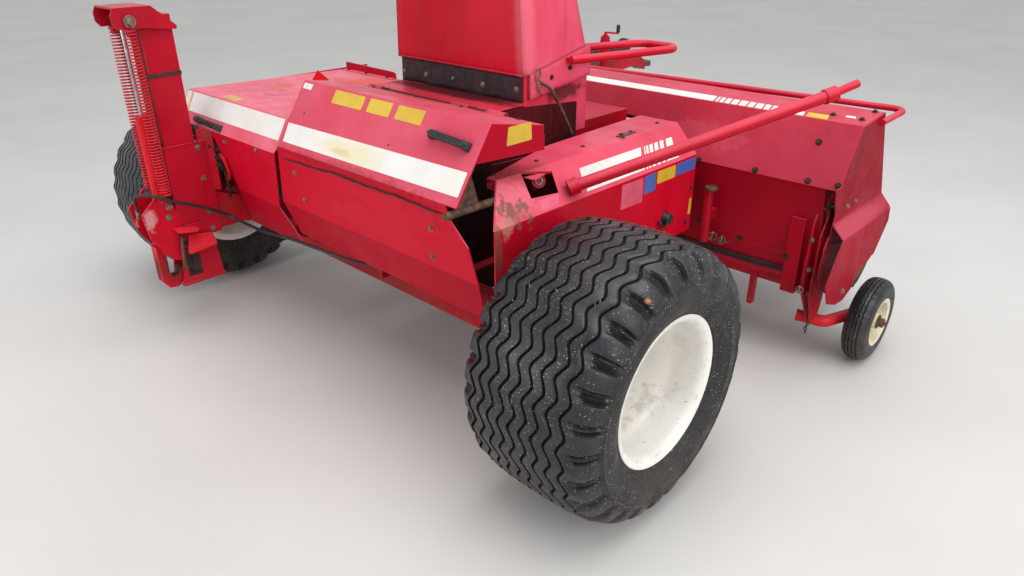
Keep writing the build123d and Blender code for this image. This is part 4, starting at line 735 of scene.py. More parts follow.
# dry grass, seeds and a leaf caught on the tread
for side, body, seed in ((1, "wheel_right", 5), (-1, "wheel_left", 6)):
    rg = random.Random(seed); pc = Piece()
    for k in range(620):
        a = rg.uniform(0, 2 * math.pi); x = rg.gauss(0, 95)
        if abs(x) > 205: continue
        r = crown(x) + 0.6
        c = V((side * (1265 + x), math.cos(a) * r, 433 + math.sin(a) * r)); n = V((0, math.cos(a), math.sin(a)))
        t = V((1, 0, 0)); w = n.cross(t); q = rg.uniform(0, math.pi)
        d = (t * math.cos(q) + w * math.sin(q)); e = n.cross(d)
        if k % 9 == 0: ln, wd = rg.uniform(9, 26), rg.uniform(0.5, 0.9)
        else: ln, wd = rg.uniform(1.2, 3.4), rg.uniform(0.7, 1.3)
        p0, p1 = c - d * ln / 2, c + d * ln / 2; mid = c + n * (ln * 0.08) + e * rg.uniform(-0.12, 0.12) * ln
        pc.add([p0 - e * wd * 0.4, mid - e * wd, p1, mid + e * wd, mid + n * 0.8], [(0, 1, 4), (1, 2, 4), (2, 3, 4), (3, 0, 4), (0, 3, 2, 1)], True)
    pc.make("grass_bits_" + ("right" if side > 0 else "left"), body, "grass")
pc = Piece()
lf = V((1489, -170, 794))
pc.add([lf + V(q) for q in ((-8, -9, 2), (2, -12, 0), (9, -5, -4), (8, 6, 0), (-1, 10, 6), (-9, 4, 8), (2, -2, 6))],
       [(0, 1, 6), (1, 2, 6), (2, 3, 6), (3, 4, 6), (4, 5, 6), (5, 0, 6), (5, 4, 3, 2, 1, 0)], True)
pc.make("dry_leaf", "wheel_right", "leaf")

# rims: rolled flange, stepped barrel, dished disc and hub
RIM = [(-203, 216.2), (-206, 234), (-209, 238), (-212, 236), (-212, 231), (-209, 222), (-203, 212.5), (-194, 208.5), (-178, 207.5), (-150, 207.5), (-116, 190), (-70, 189), (56, 189), (90, 203), (98, 207),
       (120, 207.5), (176, 207.5), (186, 208.5), (195, 211), (203, 216), (208, 224), (211.4, 231), (212, 235.5), (210, 238), (206.4, 237), (204.6, 230), (203, 216.2), (196, 215.9), (103, 215.9), (58, 197), (-112, 197), (-150, 215.9)]
DISC = [(-96, 189.5), (-90, 189.5), (-84, 176), (-72, 150), (-66, 128), (-65, 104), (-66, 76), (-62, 71), (-45.5, 70), (-45.5, 31), (-168, 31), (-168, 76), (-80, 76), (-78, 104), (-79, 128), (-86, 152), (-98, 180)]
for side, tag in ((1, "right"), (-1, "left")):
    pc = Piece()
    for prof, SEG in ((RIM, 128), (DISC, 96)):
        rows = [[(side * (1265 + x), r * math.cos(2 * math.pi * k / SEG), 433 + r * math.sin(2 * math.pi * k / SEG)) for k in range(SEG)] for x, r in prof]
        b0 = len(pc.f)
        pc.quadgrid(rows, closed_u=True, closed_v=True, smooth=True)
    if side > 0: pc.f = [f[::-1] for f in pc.f]
    ob = pc.make("rim_shell_" + tag, "wheel_" + tag, "cream")
    n_ = ob.modifiers.new("shade", "NODES"); n_.node_group = g2
    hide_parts("rim_" + tag)

# wheel nuts, valve and hub cap details
for side, body in ((1, "wheel_right"), (-1, "wheel_left")):
    pc = Piece()
    for k in range(8):
        a = math.pi * 2 * k / 8 + 0.2
        p = (side * (1265 - 78), 92 * math.cos(a), 433 + 92 * math.sin(a))
        pc.bolt(p, (side, 0, 0), 36, True, 0, 0.2 * k)
        pc.lathe(p, (side, 0, 0), [(8, 6.4), (20, 6.4), (21.5, 5.4)], 12)
    pc.make("wheel_nuts_" + ("right" if side > 0 else "left"), body, "bolt")
    pc = Piece()
    b = V((side * (1265 + 70), -128, 433 + 137))
    pc.rod([b, b + V((side * 24, 5, -6)), b + V((side * 42, 8, -9))], [4.2, 3.6, 3.6], 12)
    pc.lathe(b + V((side * 42, 8, -9)), (side * 42, 8, -9), [(0, 5), (12, 5), (13.5, 4)], 12)
    pc.make("valve_" + ("right" if side > 0 else "left"), body, "black")
for gx, s_, body, tag in ((1580, 1, "gauge_wheel_right", "right"), (-680, -1, "gauge_wheel_left", "left")):
    pc = Piece()
    for k in range(4):
        a = math.pi / 2 * k + 0.5
        pc.bolt((gx + s_ * 6, 1360 + 58 * math.cos(a), 175 + 58 * math.sin(a)), (s_, 0, 0), 13, True)
    pc.make("gauge_wheel_bolts_" + tag, body, "bolt")
    pc = Piece()
    pc.lathe((gx + s_ * 38, 1360, 175), (s_, 0, 0), [(0, 30), (3, 29.4), (5, 24), (5.4, 20)], 28)
    pc.make("gauge_hub_ring_" + tag, body, "rusty")
    pc = Piece()
    pc.bolt((gx + s_ * 59.0, 1360, 175), (s_, 0, 0), 22, True)
    pc.make("gauge_spindle_nut_" + tag, "pickup", "rusty")

# --------------------------------------------------------------------------
# balance springs of the hitch: wound wire at one fixed length; the real springs shorten as the hook is lifted
# --------------------------------------------------------------------------
for s_, tag in ((1, "right"), (-1, "left")):
    cx_, turns, nper = -700 + 73 * s_, 55, 18
    pts = []
    for i in range(turns * nper + 1):
        a = 2 * math.pi * i / nper; f = i / (turns * nper)
        z = 651.5 + (1285.5 - 651.5) * min(max((f * 1.03 - 0.015), 0), 1)
        wob_ = 1.4 * math.sin(f * 9 + s_)
        pts.append((cx_ + (20 * math.cos(a)) + wob_, -480 + 20 * math.sin(a), z))
    pc = Piece(); pc.rod(pts, 2.9, 7)
    ob = pc.make("balance_spring_" + tag, "root", "red_bright")
    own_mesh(ob)
    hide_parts("hitch_spring_" + tag)
    # end plugs that the wire is screwed on
    pc = Piece(); pc.lathe((cx_, -480, 1262), (0, 0, 1), [(0, 12), (4, 15.5), (27, 15.5)], 20)
    pc.make("spring_plug_top_" + tag, "root", "red_tower")
    pc = Piece(); pc.lathe((cx_, -480, 611), (0, 0, 1), [(0, 9), (40, 9), (42, 15.5), (66, 15.5), (70, 12)], 20)
    pc.make("spring_plug_low_" + tag, "hitch_carriage", "red_bright")

# --------------------------------------------------------------------------
# films, stripes and blank labels
# --------------------------------------------------------------------------
film("cover_stripe", COV_S, [(-50, -212, 993), (884, -205, 1003), (886, -248, 940), (-38, -252, 934)], "white", "right_cover", 3)
for i, (a, b) in enumerate(((144, 314), (343, 460), (490, 619))):
    film("cover_label_%d" % (i + 1), COV_S, [(a, -124, 1122), (b, -124, 1122), (b, -152, 1083), (a, -152, 1083)], "yellow", "right_cover", 5)
film("cover_label_small", COV_S, [(-52, -122, 1120), (2, -122, 1120), (2, -135, 1103), (-52, -135, 1103)], "white_worn", "right_cover", 3)
film("cover_label_end", COV_E, [(897, -60, 1052), (897, 49, 1052), (897, 46, 1106), (897, -52, 1107)], "yellow", "right_cover", 5)
film("hood_stripe", HOOD_S, [(-836, -193, 992), (-104, -193, 992), (-98, -238, 922), (-826, -238, 922)], "white", "left_hood", 3)
film("hood_stripe_edge", HOOD_S, [(-890, -193, 992), (-851, -193, 992), (-841, -238, 922), (-884, -238, 922)], "white_worn", "left_hood", 3)
film("hood_stripe_mark", HOOD_S, [(-850, -193, 992), (-839, -193, 992), (-829, -238, 922), (-840, -238, 922)], "yellow", "left_hood", 1)
film("hood_label", HOOD_T, [(-634, -130, 1000), (-508, -134, 1000), (-512, -176, 1000), (-640, -170, 1000)], "yellow", "left_hood", 4)
film("hood_label_faded", HOOD_T, [(-560, 40, 1000), (-470, 30, 1000), (-480, -8, 1000), (-566, 0, 1000)], "pink", "left_hood", 4)

# right side panel: upper and lower stripe, each broken up into slanted bars
up_ = lambda y, t: (883 + 25 * t, y, 901 - 27 * t)
segs = [[(882, 302, 902), (882, 656, 902), (907, 627, 876), (908, 287, 875)]]
for a, b in ((673, 680), (687, 700), (708, 729), (739, 763), (775, 799)):
    segs.append([up_(a, 0), up_(b, 0), up_(b - 25, 1), up_(a - 25, 1)])
segs.append([up_(816, 0), up_(857, 0), up_(838, 1), up_(792, 1)])
film("side_stripe_upper", SP_S, None, "white_worn", "root", 1.5, parts=segs)
lo_ = lambda y, t: (930 + 10 * t, y, 852 - 11 * t)
segs = [[(930, 286, 852), (930, 616, 852), (940, 604, 841), (940, 275, 841)]]
for a, b in ((628, 636), (644, 658), (668, 688), (698, 722), (733, 752)):
    segs.append([lo_(a, 0), lo_(b, 0), lo_(b - 11, 1), lo_(a - 11, 1)])
segs.append([lo_(764, 0), lo_(840, 0), lo_(830, 1), lo_(752, 1)])
film("side_stripe_lower", SP_S, None, "white_worn", "root", 1.0, parts=segs)
film("side_label_blue", SP_V, [(950, 597, 752), (950, 668, 752), (950, 668, 820), (950, 597, 820)], "blue", "root", 3)
film("side_label_yellow", SP_V, [(950, 678, 772), (950, 798, 772), (950, 798, 820), (950, 678, 820)], "yellow", "root", 4)
film("side_label_blue_long", SP_V, [(950, 806, 774), (950, 938, 774), (950, 938, 820), (950, 806, 820)], "blue", "root", 3)
film("side_label_pink", SP_V, [(950, 458, 730), (950, 588, 727), (950, 588, 818), (950, 458, 820)], "pink", "root", 3)
film("side_label_front", SP_V, [(950, 921, 588), (950, 940, 588), (950, 940, 654), (950, 924, 654)], "yellow", "root", 3)
film("side_label_rear", SP_S, [(922, 62, 861), (921, 156, 861), (946, 122, 834), (944, 44, 836)], "pink", "root", 3)

# pick-up hood
film("pickup_stripe", PU_T, [(-560, 1103, 1002), (905, 1103, 1002), (890, 1164, 1009), (-560, 1164, 1009)], "white", "pickup", 3)
segs = []
x_ = 914
for w_ in (10, 16, 20, 26, 30, 24, 28, 22, 18):
    segs.append([(x_, 1104, 1002), (x_ + w_, 1104, 1002), (x_ + w_ - 15, 1162, 1009), (x_ - 15, 1162, 1009)]); x_ += w_ + 7
film("pickup_stripe_bars", PU_T, None, "white_worn", "pickup", 2, parts=segs)
film("pickup_label_white", PU_T, [(1192, 1110, 1003), (1272, 1104, 1003), (1262, 1146, 1006), (1186, 1150, 1006)], "white", "pickup", 3)
film("pickup_label_yellow", PU_T, [(1284, 1104, 1003), (1362, 1104, 1003), (1350, 1152, 1006), (1274, 1150, 1006)], "yellow", "pickup", 3)
film("pickup_label_small", PU_T, [(1404, 1160, 1008), (1440, 1160, 1008), (1434, 1180, 1010), (1400, 1180, 1010)], "white", "pickup", 3)
film("pickup_front_stripe", PU_F, [(-540, 1296, 985), (1440, 1296, 985), (1440, 1330, 915), (-540, 1330, 915)], "white", "pickup", 3)

# left side, mirrored in kind
LS_S = Plane((-950, 0, 932), (-92, 0, 40))
film("left_stripe", Plane((-960, 0, 0), (-1, 0, 0)), [(-960, -40, 760), (-960, 900, 760), (-960, 900, 812), (-960, -40, 812)], "white", "root", 3)

# --------------------------------------------------------------------------
# covers: handles, bolts, rubber strips, tabs
# --------------------------------------------------------------------------
def handle(name, plane, a, b, body, lift=27, w=11.5):
    """A moulded grip: rounded square section, wide flat feet, ribs under the fingers."""
    a, b = plane.on(a), plane.on(b); n = plane.n; d = (b - a).normalized(); e = n.cross(d); L = (b - a).length
    pc = Piece(); rows = []
    prof = []                                    # along, outer height, inner height, half width
    for k in range(29):
        t = k / 28.0; q = min(t, 1 - t) * L
        outer = lift * min(1.0, (q / 16.0) ** 0.5 if q > 0 else 0.0) + 2.5
        inner = -1.5 if q < 24 else min(lift - 12.5, (q - 24) * 2.2)
        prof.append((t * L, outer, inner, w * (1.25 - 0.25 * min(q / 30.0, 1.0)) + (0.5 if (k % 2 and q > 40) else 0.0)))
    for al, o_, i_, hw in prof:
        c = a + d * al; row = []
        for u, v in ((-1, 0), (-1, 0.75), (-0.72, 1), (0.72, 1), (1, 0.75), (1, 0), (0.72, -0.0), (-0.72, 0.0)):
            row.append(c + e * (hw * u) + n * (i_ + (o_ - i_) * v))
        rows.append(row)
    b0 = pc.quadgrid(rows, closed_u=True, smooth=True)
    pc.f.append(tuple(range(b0, b0 + 8))[::-1]); pc.sm.append(False); pc.mi.append(0)
    q = b0 + (len(rows) - 1) * 8; pc.f.append(tuple(range(q, q + 8))); pc.sm.append(False); pc.mi.append(0)
    for al in (9, L - 9):
        pc.lathe(a + d * al + n * (lift * 0.72), n, [(-2, 4.6), (6, 4.6), (7, 3.6), (7.2, 1.8), (5, 1.6)], 14)
    ob = pc.make(name, body, "black", 1.2)


handle("cover_handle", COV_S, (681, -160, 1068), (858, -166, 1060), "right_cover")
handle("hood_handle", HOOD_S, (-716, -250, 902), (-506, -254, 896), "left_hood")

pc = Piece()
for p, n in (((-10, -237, 820), COV_L), ((-20, -204, 706), COV_L), ((745, -233, 805), COV_L), ((705, -199, 691), COV_L)):
    pc.bolt(n.on(p), n.n, 17)
pc.make("cover_bolts", "right_cover", "bolt")
pc = Piece()
for p in ((17, -185, 1033), (515, -198, 1013)):
    pc.bolt(COV_S.on(p), COV_S.n, 9, False, 0, 0.3, True)
for x in (60, 300, 540, 800):
    pc.bolt(COV_T.on((x, 92, 1088)), COV_T.n, 12, True, 0, 0.2, True)
pc.make("cover_rivets", "right_cover", "bolt_dark")
pc = Piece()
for p, n in (((-231, -261, 867), HOOD_L), ((-718, -262, 870), HOOD_L), ((-655, -254, 842), HOOD_L), ((-491, -257, 852), HOOD_L), ((-678, -239, 793), HOOD_L)):
    pc.bolt(n.on(p), n.n, 17)
pc.make("hood_bolts", "left_hood", "bolt")

# rubber lip under the cover's fold, rubbed through in the middle
fold_y = lambda z: -265 + (915 - z) * 79 / 270.0
pts = [COV_L.on((x, fold_y(z), z), 2.0) for x, z in
       [(-57 + 20 * k, 866 + 16 * min(k / 16.0, 1.0) + 1.6 * math.sin(k * 0.42) + 1.1 * math.sin(k * 1.14 + 1) - (3 if k > 38 else 0)) for k in range(45)]]
pc = Piece(); pc.rod(pts, [1.6 + 3.6 * min(i / 5.0, 1, (len(pts) - 1 - i) / 3.0 + 0.2) for i in range(len(pts))], 10, flat_=0.6)
pc.make("cover_lip", "right_cover", "rubber")
pc = Piece()
rg = random.Random(3)
for k in range(26):
    x = 330 + 9.5 * k; z = 881 + rg.uniform(-3, 4); c = COV_L.on((x, fold_y(z), z), 5.0)
    pc.lathe(c, COV_L.n, [(-4, 2.6), (0.4, 2.2), (0.9, 1.2)], 8)
pc.make("cover_lip_rivets", "right_cover", "rusty")

# strip between the cover and the chute: black rubber held by the neck's bolts
top, low = [], []
for k in range(34):
    x = -32 + 19.6 * k
    top.append((x, 312, 1167)); low.append((x, 311 - 2 * math.sin(k * 0.9), 1074 + 2.0 * math.sin(k * 0.55) + 1.6 * math.sin(k * 1.7)))
pc = Piece()
rows = [[V(p) + V((0, -5 - 2.2 * math.sin(i * 0.42 + j * 0.5) * (j / 5.0), 0)) for i, p in enumerate([V(t) * (1 - j / 5.0) + V(l) * (j / 5.0) for t, l in zip(top, low)])] for j in range(6)]
back = [[V(p) + V((0, 4.0, 0)) for p in r_] for r_ in rows]
loop = rows + back[::-1]
pc.quadgrid(loop, closed_v=True, smooth=True)
nu = len(loop[0])
pc.f.append(tuple(j * nu for j in range(len(loop)))); pc.sm.append(False); pc.mi.append(0)
pc.f.append(tuple(j * nu + nu - 1 for j in range(len(loop)))[::-1]); pc.sm.append(False); pc.mi.append(0)
pc.make("neck_strip", "root", "rubber")
pc = Piece()
for x, z in ((-14, 1113), (113, 1113), (270, 1118), (425, 1116), (590, 1121)):
    pc.bolt((x, 307, z), (0, -1, 0), 17)
pc.make("neck_bolts", "root", "bolt")
pc = Piece()
for y, z in ((440, 1150), (540, 1170), (620, 1186)):
    pc.bolt((634, y, z), (1, 0, 0), 15)
pc.make("skirt_bolts", "root", "bolt_dark")

# clip and bent rod at the skirt
pc = Piece()
pc.rod(bend([(636, 372, 1141), (650, 378, 1138), (652, 400, 1126), (652, 424, 1108), (655, 470, 1040), (658, 528, 945), (650, 552, 916)], 22, 6), 5.8, 12)
pc.make("latch_rod", "root", "rusty")
pc = Piece()
c0 = V((641, 362, 1168))
lp = [c0 + V((0, 13 * math.cos(a), 26 * math.sin(a))) for a in [math.radians(-60 + 300 * k / 16) for k in range(17)]]
pc.rod(lp, 2.4, 8)
pc.rod([c0 + V((0, 4, -24)), c0 + V((2, 6, -44)), c0 + V((1, 2, -58))], 2.2, 8)
pc.rod([c0 + V((2, -2, -22)), c0 + V((4, -4, -40)), c0 + V((3, 6, -56)), c0 + V((3, 14, -70))], 2.2, 8)
pc.make("spring_clip", "root", "bolt")

# hood roof: gusset and front lip
pc = Piece()
pc.prism([(-664, 280, 997), (-600, 333, 997), (-641, 300, 1043)], (2.6, -3.2, 0))
pc.make("hood_gusset", "left_hood", "red_bright", 0.8)
pc = Piece()
pc.prism([(-776, 546, 996), (-776, 546, 1031), (-768, 546, 1036), (-520, 546, 1032), (-404, 546, 1030), (-392, 546, 1024), (-390, 546, 996)], (0, 4, 0))
pc.prism([(-776, 520, 999.5), (-390, 520, 999.5), (-390, 548, 999.5), (-776, 548, 999.5)], (0, 0, 3))
pc.make("hood_front_lip", "left_hood", "red_hood", 0.8)
pc = Piece()
for x in (-740, -600, -440):
    pc.bolt((x, 533, 1002.5), (0, 0, 1), 13)
pc.make("hood_lip_bolts", "left_hood", "bolt_dark")

# bent hand rod and shut-off valve in the hood's cut-out beside the tower
pc = Piece()
pc.rod(bend([(-600, -236, 772), (-578, -240, 770), (-566, -236, 748), (-572, -226, 704), (-590, -218, 676), (-618, -210, 652), (-640, -204, 642)], 18, 6), 8.0, 12)
pc.make("hand_rod", "root", "red_bright")
pc = Piece()
pc.prism([(-636, -238, 700), (-604, -238, 700), (-600, -238, 712), (-600, -238, 806), (-606, -238, 818), (-634, -238, 818), (-640, -238, 806), (-640, -238, 712)], (0, 44, 0))
for z in (724, 758, 792):
    pc.lathe((-620, -237, z), (0, -1, 0), [(-1, 11), (4, 11), (5, 8), (13, 8), (14, 5)], 16)
pc.rod(bend([(-612, -226, 702), (-610, -222, 660), (-622, -214, 612), (-640, -206, 570)], 30, 6), 6.0, 12)
pc.make("shut_off_valve", "root", "black", 1.0)

# --------------------------------------------------------------------------
# right side panel: knob, latch, bolts, stray wire
# --------------------------------------------------------------------------
pc = Piece()
pc.lathe((950, 752, 619), (1, 0, 0), [(-2, 26), (4, 27), (8, 23), (12, 22), (24, 21), (28, 17), (29, 8), (26, 6)], 28)
pc.rod(bend([(958, 740, 600), (966, 724, 592), (968, 706, 606), (962, 700, 622)], 12, 5), 6.2, 12)
pc.make("side_knob", "root", "black")
pc = Piece()
pc.prism([(798, 700, 937), (806, 604, 937), (830, 608, 937), (822, 708, 937)], (0, 0, 3.5))
pc.bolt((818, 622, 940.5), (0, 0, 1), 13); pc.bolt((812, 688, 940.5), (0, 0, 1), 13)
pc.rod(bend([(818, 622, 946), (838, 610, 952), (852, 590, 946)], 10, 4), 4, 10)
pc.make("side_latch", "root", "steel", 0.5)
pc = Piece()
for p, n in (((950, 930, 700), SP_V), ((950, 905, 560), SP_V), ((950, 250, 560), SP_V), ((950, -130, 560), SP_V), ((950, 560, 548), SP_V)):
    pc.bolt(n.on(p), n.n, 15)
for y in (-20, 180, 420, 640, 880):
    pc.bolt((800, y, 937), (0, 0, 1), 13, True, 0, 0.4, True)
pc.make("side_bolts", "root", "bolt_dark")

# --------------------------------------------------------------------------
# pick-up: bolts, linch pins, chain
# --------------------------------------------------------------------------
pc = Piece()
for x, y, z in ((930, 1002, 790), (1167, 1006, 798), (1371, 1007, 800), (1478, 1009, 805), (1362, 1066, 929)):
    pc.bolt(PU_R.on((x, y, z)), PU_R.n, 19)
for x in (640, 380, 120, -150, -420, -570):
    pc.bolt(PU_R.on((x, 1004, 796)), PU_R.n, 19)
for x, y in ((1358, 1162), (1463, 1158), (1468, 1262), (-440, 1160), (-570, 1262)):
    pc.bolt(PU_T.on((x, y, 1008)), PU_T.n, 19)
pc.make("pickup_hood_bolts", "pickup", "bolt_dark")
pc = Piece()
for p in ((1333, 1022, 489),): pc.bolt(p, (0, -1, 0), 19)
for p in ((938, 1055, 520), (1121, 1057, 493), (600, 1056, 500), (200, 1056, 500), (-200, 1056, 500), (-480, 1056, 500)):
    pc.bolt(p, (0, -0.99, -0.16), 19)
pc.make("pickup_sheet_bolts", "pickup", "bolt_dark")
pc = Piece()
for p in ((1424, 1026, 458), (1424, 1054, 452), (1424, 1061, 348), (1424, 1009, 585)): pc.bolt(p, (1, 0, 0), 19)
for p in ((1500, 1148, 719), (1500, 1075, 719)): pc.bolt(p, (1, 0, 0), 15)
pc.bolt((1530, 1124, 370), (1, 0, 0), 19)
for p in ((-524, 1026, 458), (-524, 1061, 348)): pc.bolt(p, (-1, 0, 0), 19)
pc.bolt((-630, 1124, 370), (-1, 0, 0), 19)
pc.make("pickup_end_bolts", "pickup", "bolt")
pc = Piece()
for p, n in (((1368, 1022, 381), (0, -1, 0)), ((1368, 1022, 356), (0, -1, 0)), ((1452, 1124, 517), (1, 0, 0)), ((1500, 1200, 880), (1, 0, 0))):
    pc.lathe(V(p) - V(n) * 0.5, n, [(0, 7.4), (0.9, 7.2), (1.1, 6.2)], 18)
pc.make("pickup_holes", "pickup", "rubber")


def linch(pc, c, u, w, r=17, wire=2.3):
    """A ring pin: a sprung loop over a short pin."""
    c, u, w = V(c), V(u).normalized(), V(w).normalized()
    pc.rod([c + u * r * math.cos(a) + w * r * math.sin(a) for a in [math.radians(-80 + 320 * k / 20) for k in range(21)]], wire, 8)
    pc.rod([c - u * r * 0.2 - w * r * 1.2, c - u * r * 0.1 + w * r * 1.25], wire * 1.7, 10)


pc = Piece()
linch(pc, (1416, 1000, 382), (1, 0, 0), (0, 0, 1), 13)
linch(pc, (972, 1040, 468), (1, 0.1, 0), (0, 0.1, 1), 15)
linch(pc, (1010, 1036, 476), (1, 0.4, 0), (0, 0, 1), 17)
linch(pc, (1052, 1040, 470), (1, -0.2, 0), (0, 0.3, 1), 16)
pc.make("linch_pins", "pickup", "bolt")
pc = Piece()
pc.rod([(985, 1044, 462), (1005, 1042, 455), (1030, 1042, 452), (1060, 1044, 458), (1084, 1048, 470)], 3.0, 8)
pc.lathe((1012, 978, 696), (0, 0, 1), [(-4, 24), (0, 26), (6, 26), (8, 23)], 24)
pc.make("pipe_cap_and_wire", "pickup", "rusty")
# chain that hangs at the gauge arm
pc = Piece()
for k in range(7):
    c = V((1432 + 4 * math.sin(k), 1120 - 3 * k, 232 - 11.5 * k))
    ax = V((1, 0, 0)) if k % 2 else V((0, 1, 0))
    pc.rod([c + ax * 6 * math.cos(a) + V((0, 0, 9 * math.sin(a))) for a in [2 * math.pi * q / 14 for q in range(15)]], 2.1, 7, caps=False)
pc.make("arm_chain", "pickup", "rusty")
pc = Piece()
pc.bolt((1424, 1130, 214), (1, 0, 0), 24); pc.bolt((1424, 1108, 276), (1, 0, 0), 17)
pc.bolt((-524, 1130, 214), (-1, 0, 0), 24)
pc.make("arm_bolts", "pickup", "rusty")

pc = Piece()
pc.prism([(1470, 1060, 700), (1470, 1040, 600), (1470, 1010, 560), (1470, 1000, 470), (1470, 1040, 385), (1470, 1110, 345), (1470, 1180, 345), (1470, 1260, 400), (1470, 1400, 450), (1470, 1420, 560), (1470, 1400, 690)], (4, 0, 0))
pc.lathe((1474, 1300, 590), (1, 0, 0), [(-1, 60), (6, 60), (8, 54), (14, 40), (15, 20)], 32)
pc.make("auger_end_shield", "pickup", "red_pick", 0.8)
pc = Piece()
rows = [[V((x, 1064 + 3 * math.sin(x * 0.03) * j / 3.0 - 3, 424 - 7 * j + (3 * math.sin(x * 0.021) if j == 3 else 0))) for x in range(640, 1325, 18)] for j in range(4)]
rows += [[p + V((0, 5, 0)) for p in r_] for r_ in rows[::-1]]
pc.quadgrid(rows, closed_v=True, smooth=True)
nu = len(rows[0])
pc.f.append(tuple(j * nu for j in range(len(rows)))); pc.sm.append(False); pc.mi.append(0)
pc.f.append(tuple(j * nu + nu - 1 for j in range(len(rows)))[::-1]); pc.sm.append(False); pc.mi.append(0)
pc.make("pickup_rubber_strip", "pickup", "rubber")
pc = Piece()
for x0, z0, z1 in ((1196, 222, 380), (-300, 222, 380)):
    pc.prism([(x0 - 12, 1062, z1), (x0 - 12, 1062, z0 + 4), (x0 - 9, 1062, z0), (x0 + 9, 1062, z0), (x0 + 12, 1062, z0 + 4), (x0 + 12, 1062, z1)], (0, 24, 0))
    pc.lathe((x0, 1064, z0 + 16), (0, -1, 0), [(-1, 6), (3.4, 6), (3.8, 4)], 16)
pc.make("stand_sockets", "pickup", "red_pick", 1.5)

pc = Piece()
top = [(812, 62), (822, 74), (840, 96), (848, 118), (852, 140), (856, 158)]
rows = []
for k in range(9):
    t = k / 8.0; y = 52 + 122 * t; drop = (0, 7, 15, 20, 17, 13, 10, 6, 0)[k]
    base = SP_S.on((848 + 0.0 * y, y, 905), 1.2) if False else None
    rows.append((y, drop))
fl = []
for r_ in (0.0, 0.35, 0.7, 1.0):
    fl.append([V((858 + (dr * r_) * 0.72 + 1.5, y, 925 - 0.06 * (y - 52) - (dr * r_) * 0.80)) for y, dr in rows])
fl += [[p - V((2.0, 0, 2.0)) for p in row] for row in fl[::-1]]
pc.quadgrid(fl, closed_v=True, smooth=True)
pc.make("cut_out_flap", "root", "red_side")
pc = Piece()
pc.lathe((836, 152, 884), (0.72, -0.55, 0.42), [(-46, 15), (0, 15), (2, 13), (2, 9), (-8, 8), (-9, 0.5)], 28)
pc.make("grease_pipe_end", "root", "galv")
pc = Piece()
pc.lathe((832, 155, 882), (0.72, -0.55, 0.42), [(-4, 10), (-4, 24), (0, 25), (3, 24), (3, 15)], 24)
pc.prism([(800, 150, 905), (812, 190, 905), (822, 190, 850), (812, 150, 845)], (-6, 3, 0))
pc.make("grease_pipe_bracket", "root", "red_pick", 0.8)
# dark plate behind the side panel's cut-out: painted shade in the opening
pc = Piece()
pc.prism([(728, 40, 940), (728, 210, 932), (728, 210, 800), (728, 40, 806)], (4, 0, 0))
pc.make("cut_out_shade_plate", "root", "red_inner", 0.8)

# dark ribbed plate behind the hood's cut-out: painted shade in the opening
pc = Piece()
pc.prism([(-1010, -70, 500), (-560, -70, 500), (-560, -70, 820), (-1010, -70, 820)], (0, 4, 0))
for x in (-960, -780, -600): pc.prism([(x, -70, 505), (x + 26, -70, 505), (x + 26, -70, 815), (x, -70, 815)], (0, -14, 0))
pc.make("hood_inner_shade_plate", "root", "red_inner", 1.0)

# pick-up: closing plates and chain tensioner beside the right end plate
pc = Piece()
pc.prism([(1416, 1092, 788), (1416, 1180, 808), (1416, 1290, 810), (1416, 1330, 700), (1416, 1300, 560), (1416, 1150, 520), (1416, 1104, 560)], (5, 0, 0))
pc.make("pickup_side_closing", "pickup", "red_inner", 0.8)
pc = Piece()
pc.prism([(1494.8, 985, 700), (1494.8, 952, 770), (1494.8, 944, 808), (1494.8, 1010, 812), (1494.8, 1010, 700)], (5, 0, 0))
pc.make("end_plate_corner", "pickup", "red_end", 0.8)
pc = Piece()
pc.lathe((1424, 1064, 748), (1, 0, 0), [(0, 24), (9, 24), (11, 21), (22, 21), (24, 24), (34, 24), (35, 12), (42, 11), (43, 6)], 28)
pc.lathe((1424, 1040, 700), (1, 0, 0), [(0, 15), (12, 15), (13, 8), (20, 7)], 20)
pc.prism([(1432, 1046, 760), (1432, 1078, 764), (1432, 1090, 640), (1432, 1076, 600), (1432, 1050, 604), (1432, 1040, 650)], (6, 0, 0))
pc.prism([(1446, 1050, 730), (1446, 1068, 732), (1446, 1078, 590), (1446, 1060, 586)], (5, 0, 0))
pc.prism([(1448, 1012, 600), (1448, 1062, 690), (1448, 1096, 640), (1448, 1150, 452), (1448, 1152, 300), (1448, 1132, 232), (1448, 1064, 232), (1448, 1012, 360)], (5, 0, 0))
pc.make("chain_tensioner", "pickup", "red_pick", 0.8)
pc = Piece()
pc.rod([(1442, 1046, 790), (1444, 1050, 700), (1448, 1060, 620), (1452, 1078, 560)], 5, 10)
pc.bolt((1438, 1058, 620), (1, 0, 0), 26, True); pc.bolt((1451, 1058, 712), (1, 0, 0), 24, True)
pc.make("tensioner_rod", "pickup", "rusty")

# chute: rolled lip along the lower edge of the front sheet and collar
pc = Piece()
pc.rod([(620 - 20.0 * k, 301.5, 1170 - 0.0 * k) for k in range(34)], 4.5, 10)
pc.make("chute_base_lip", "root", "red_chute")

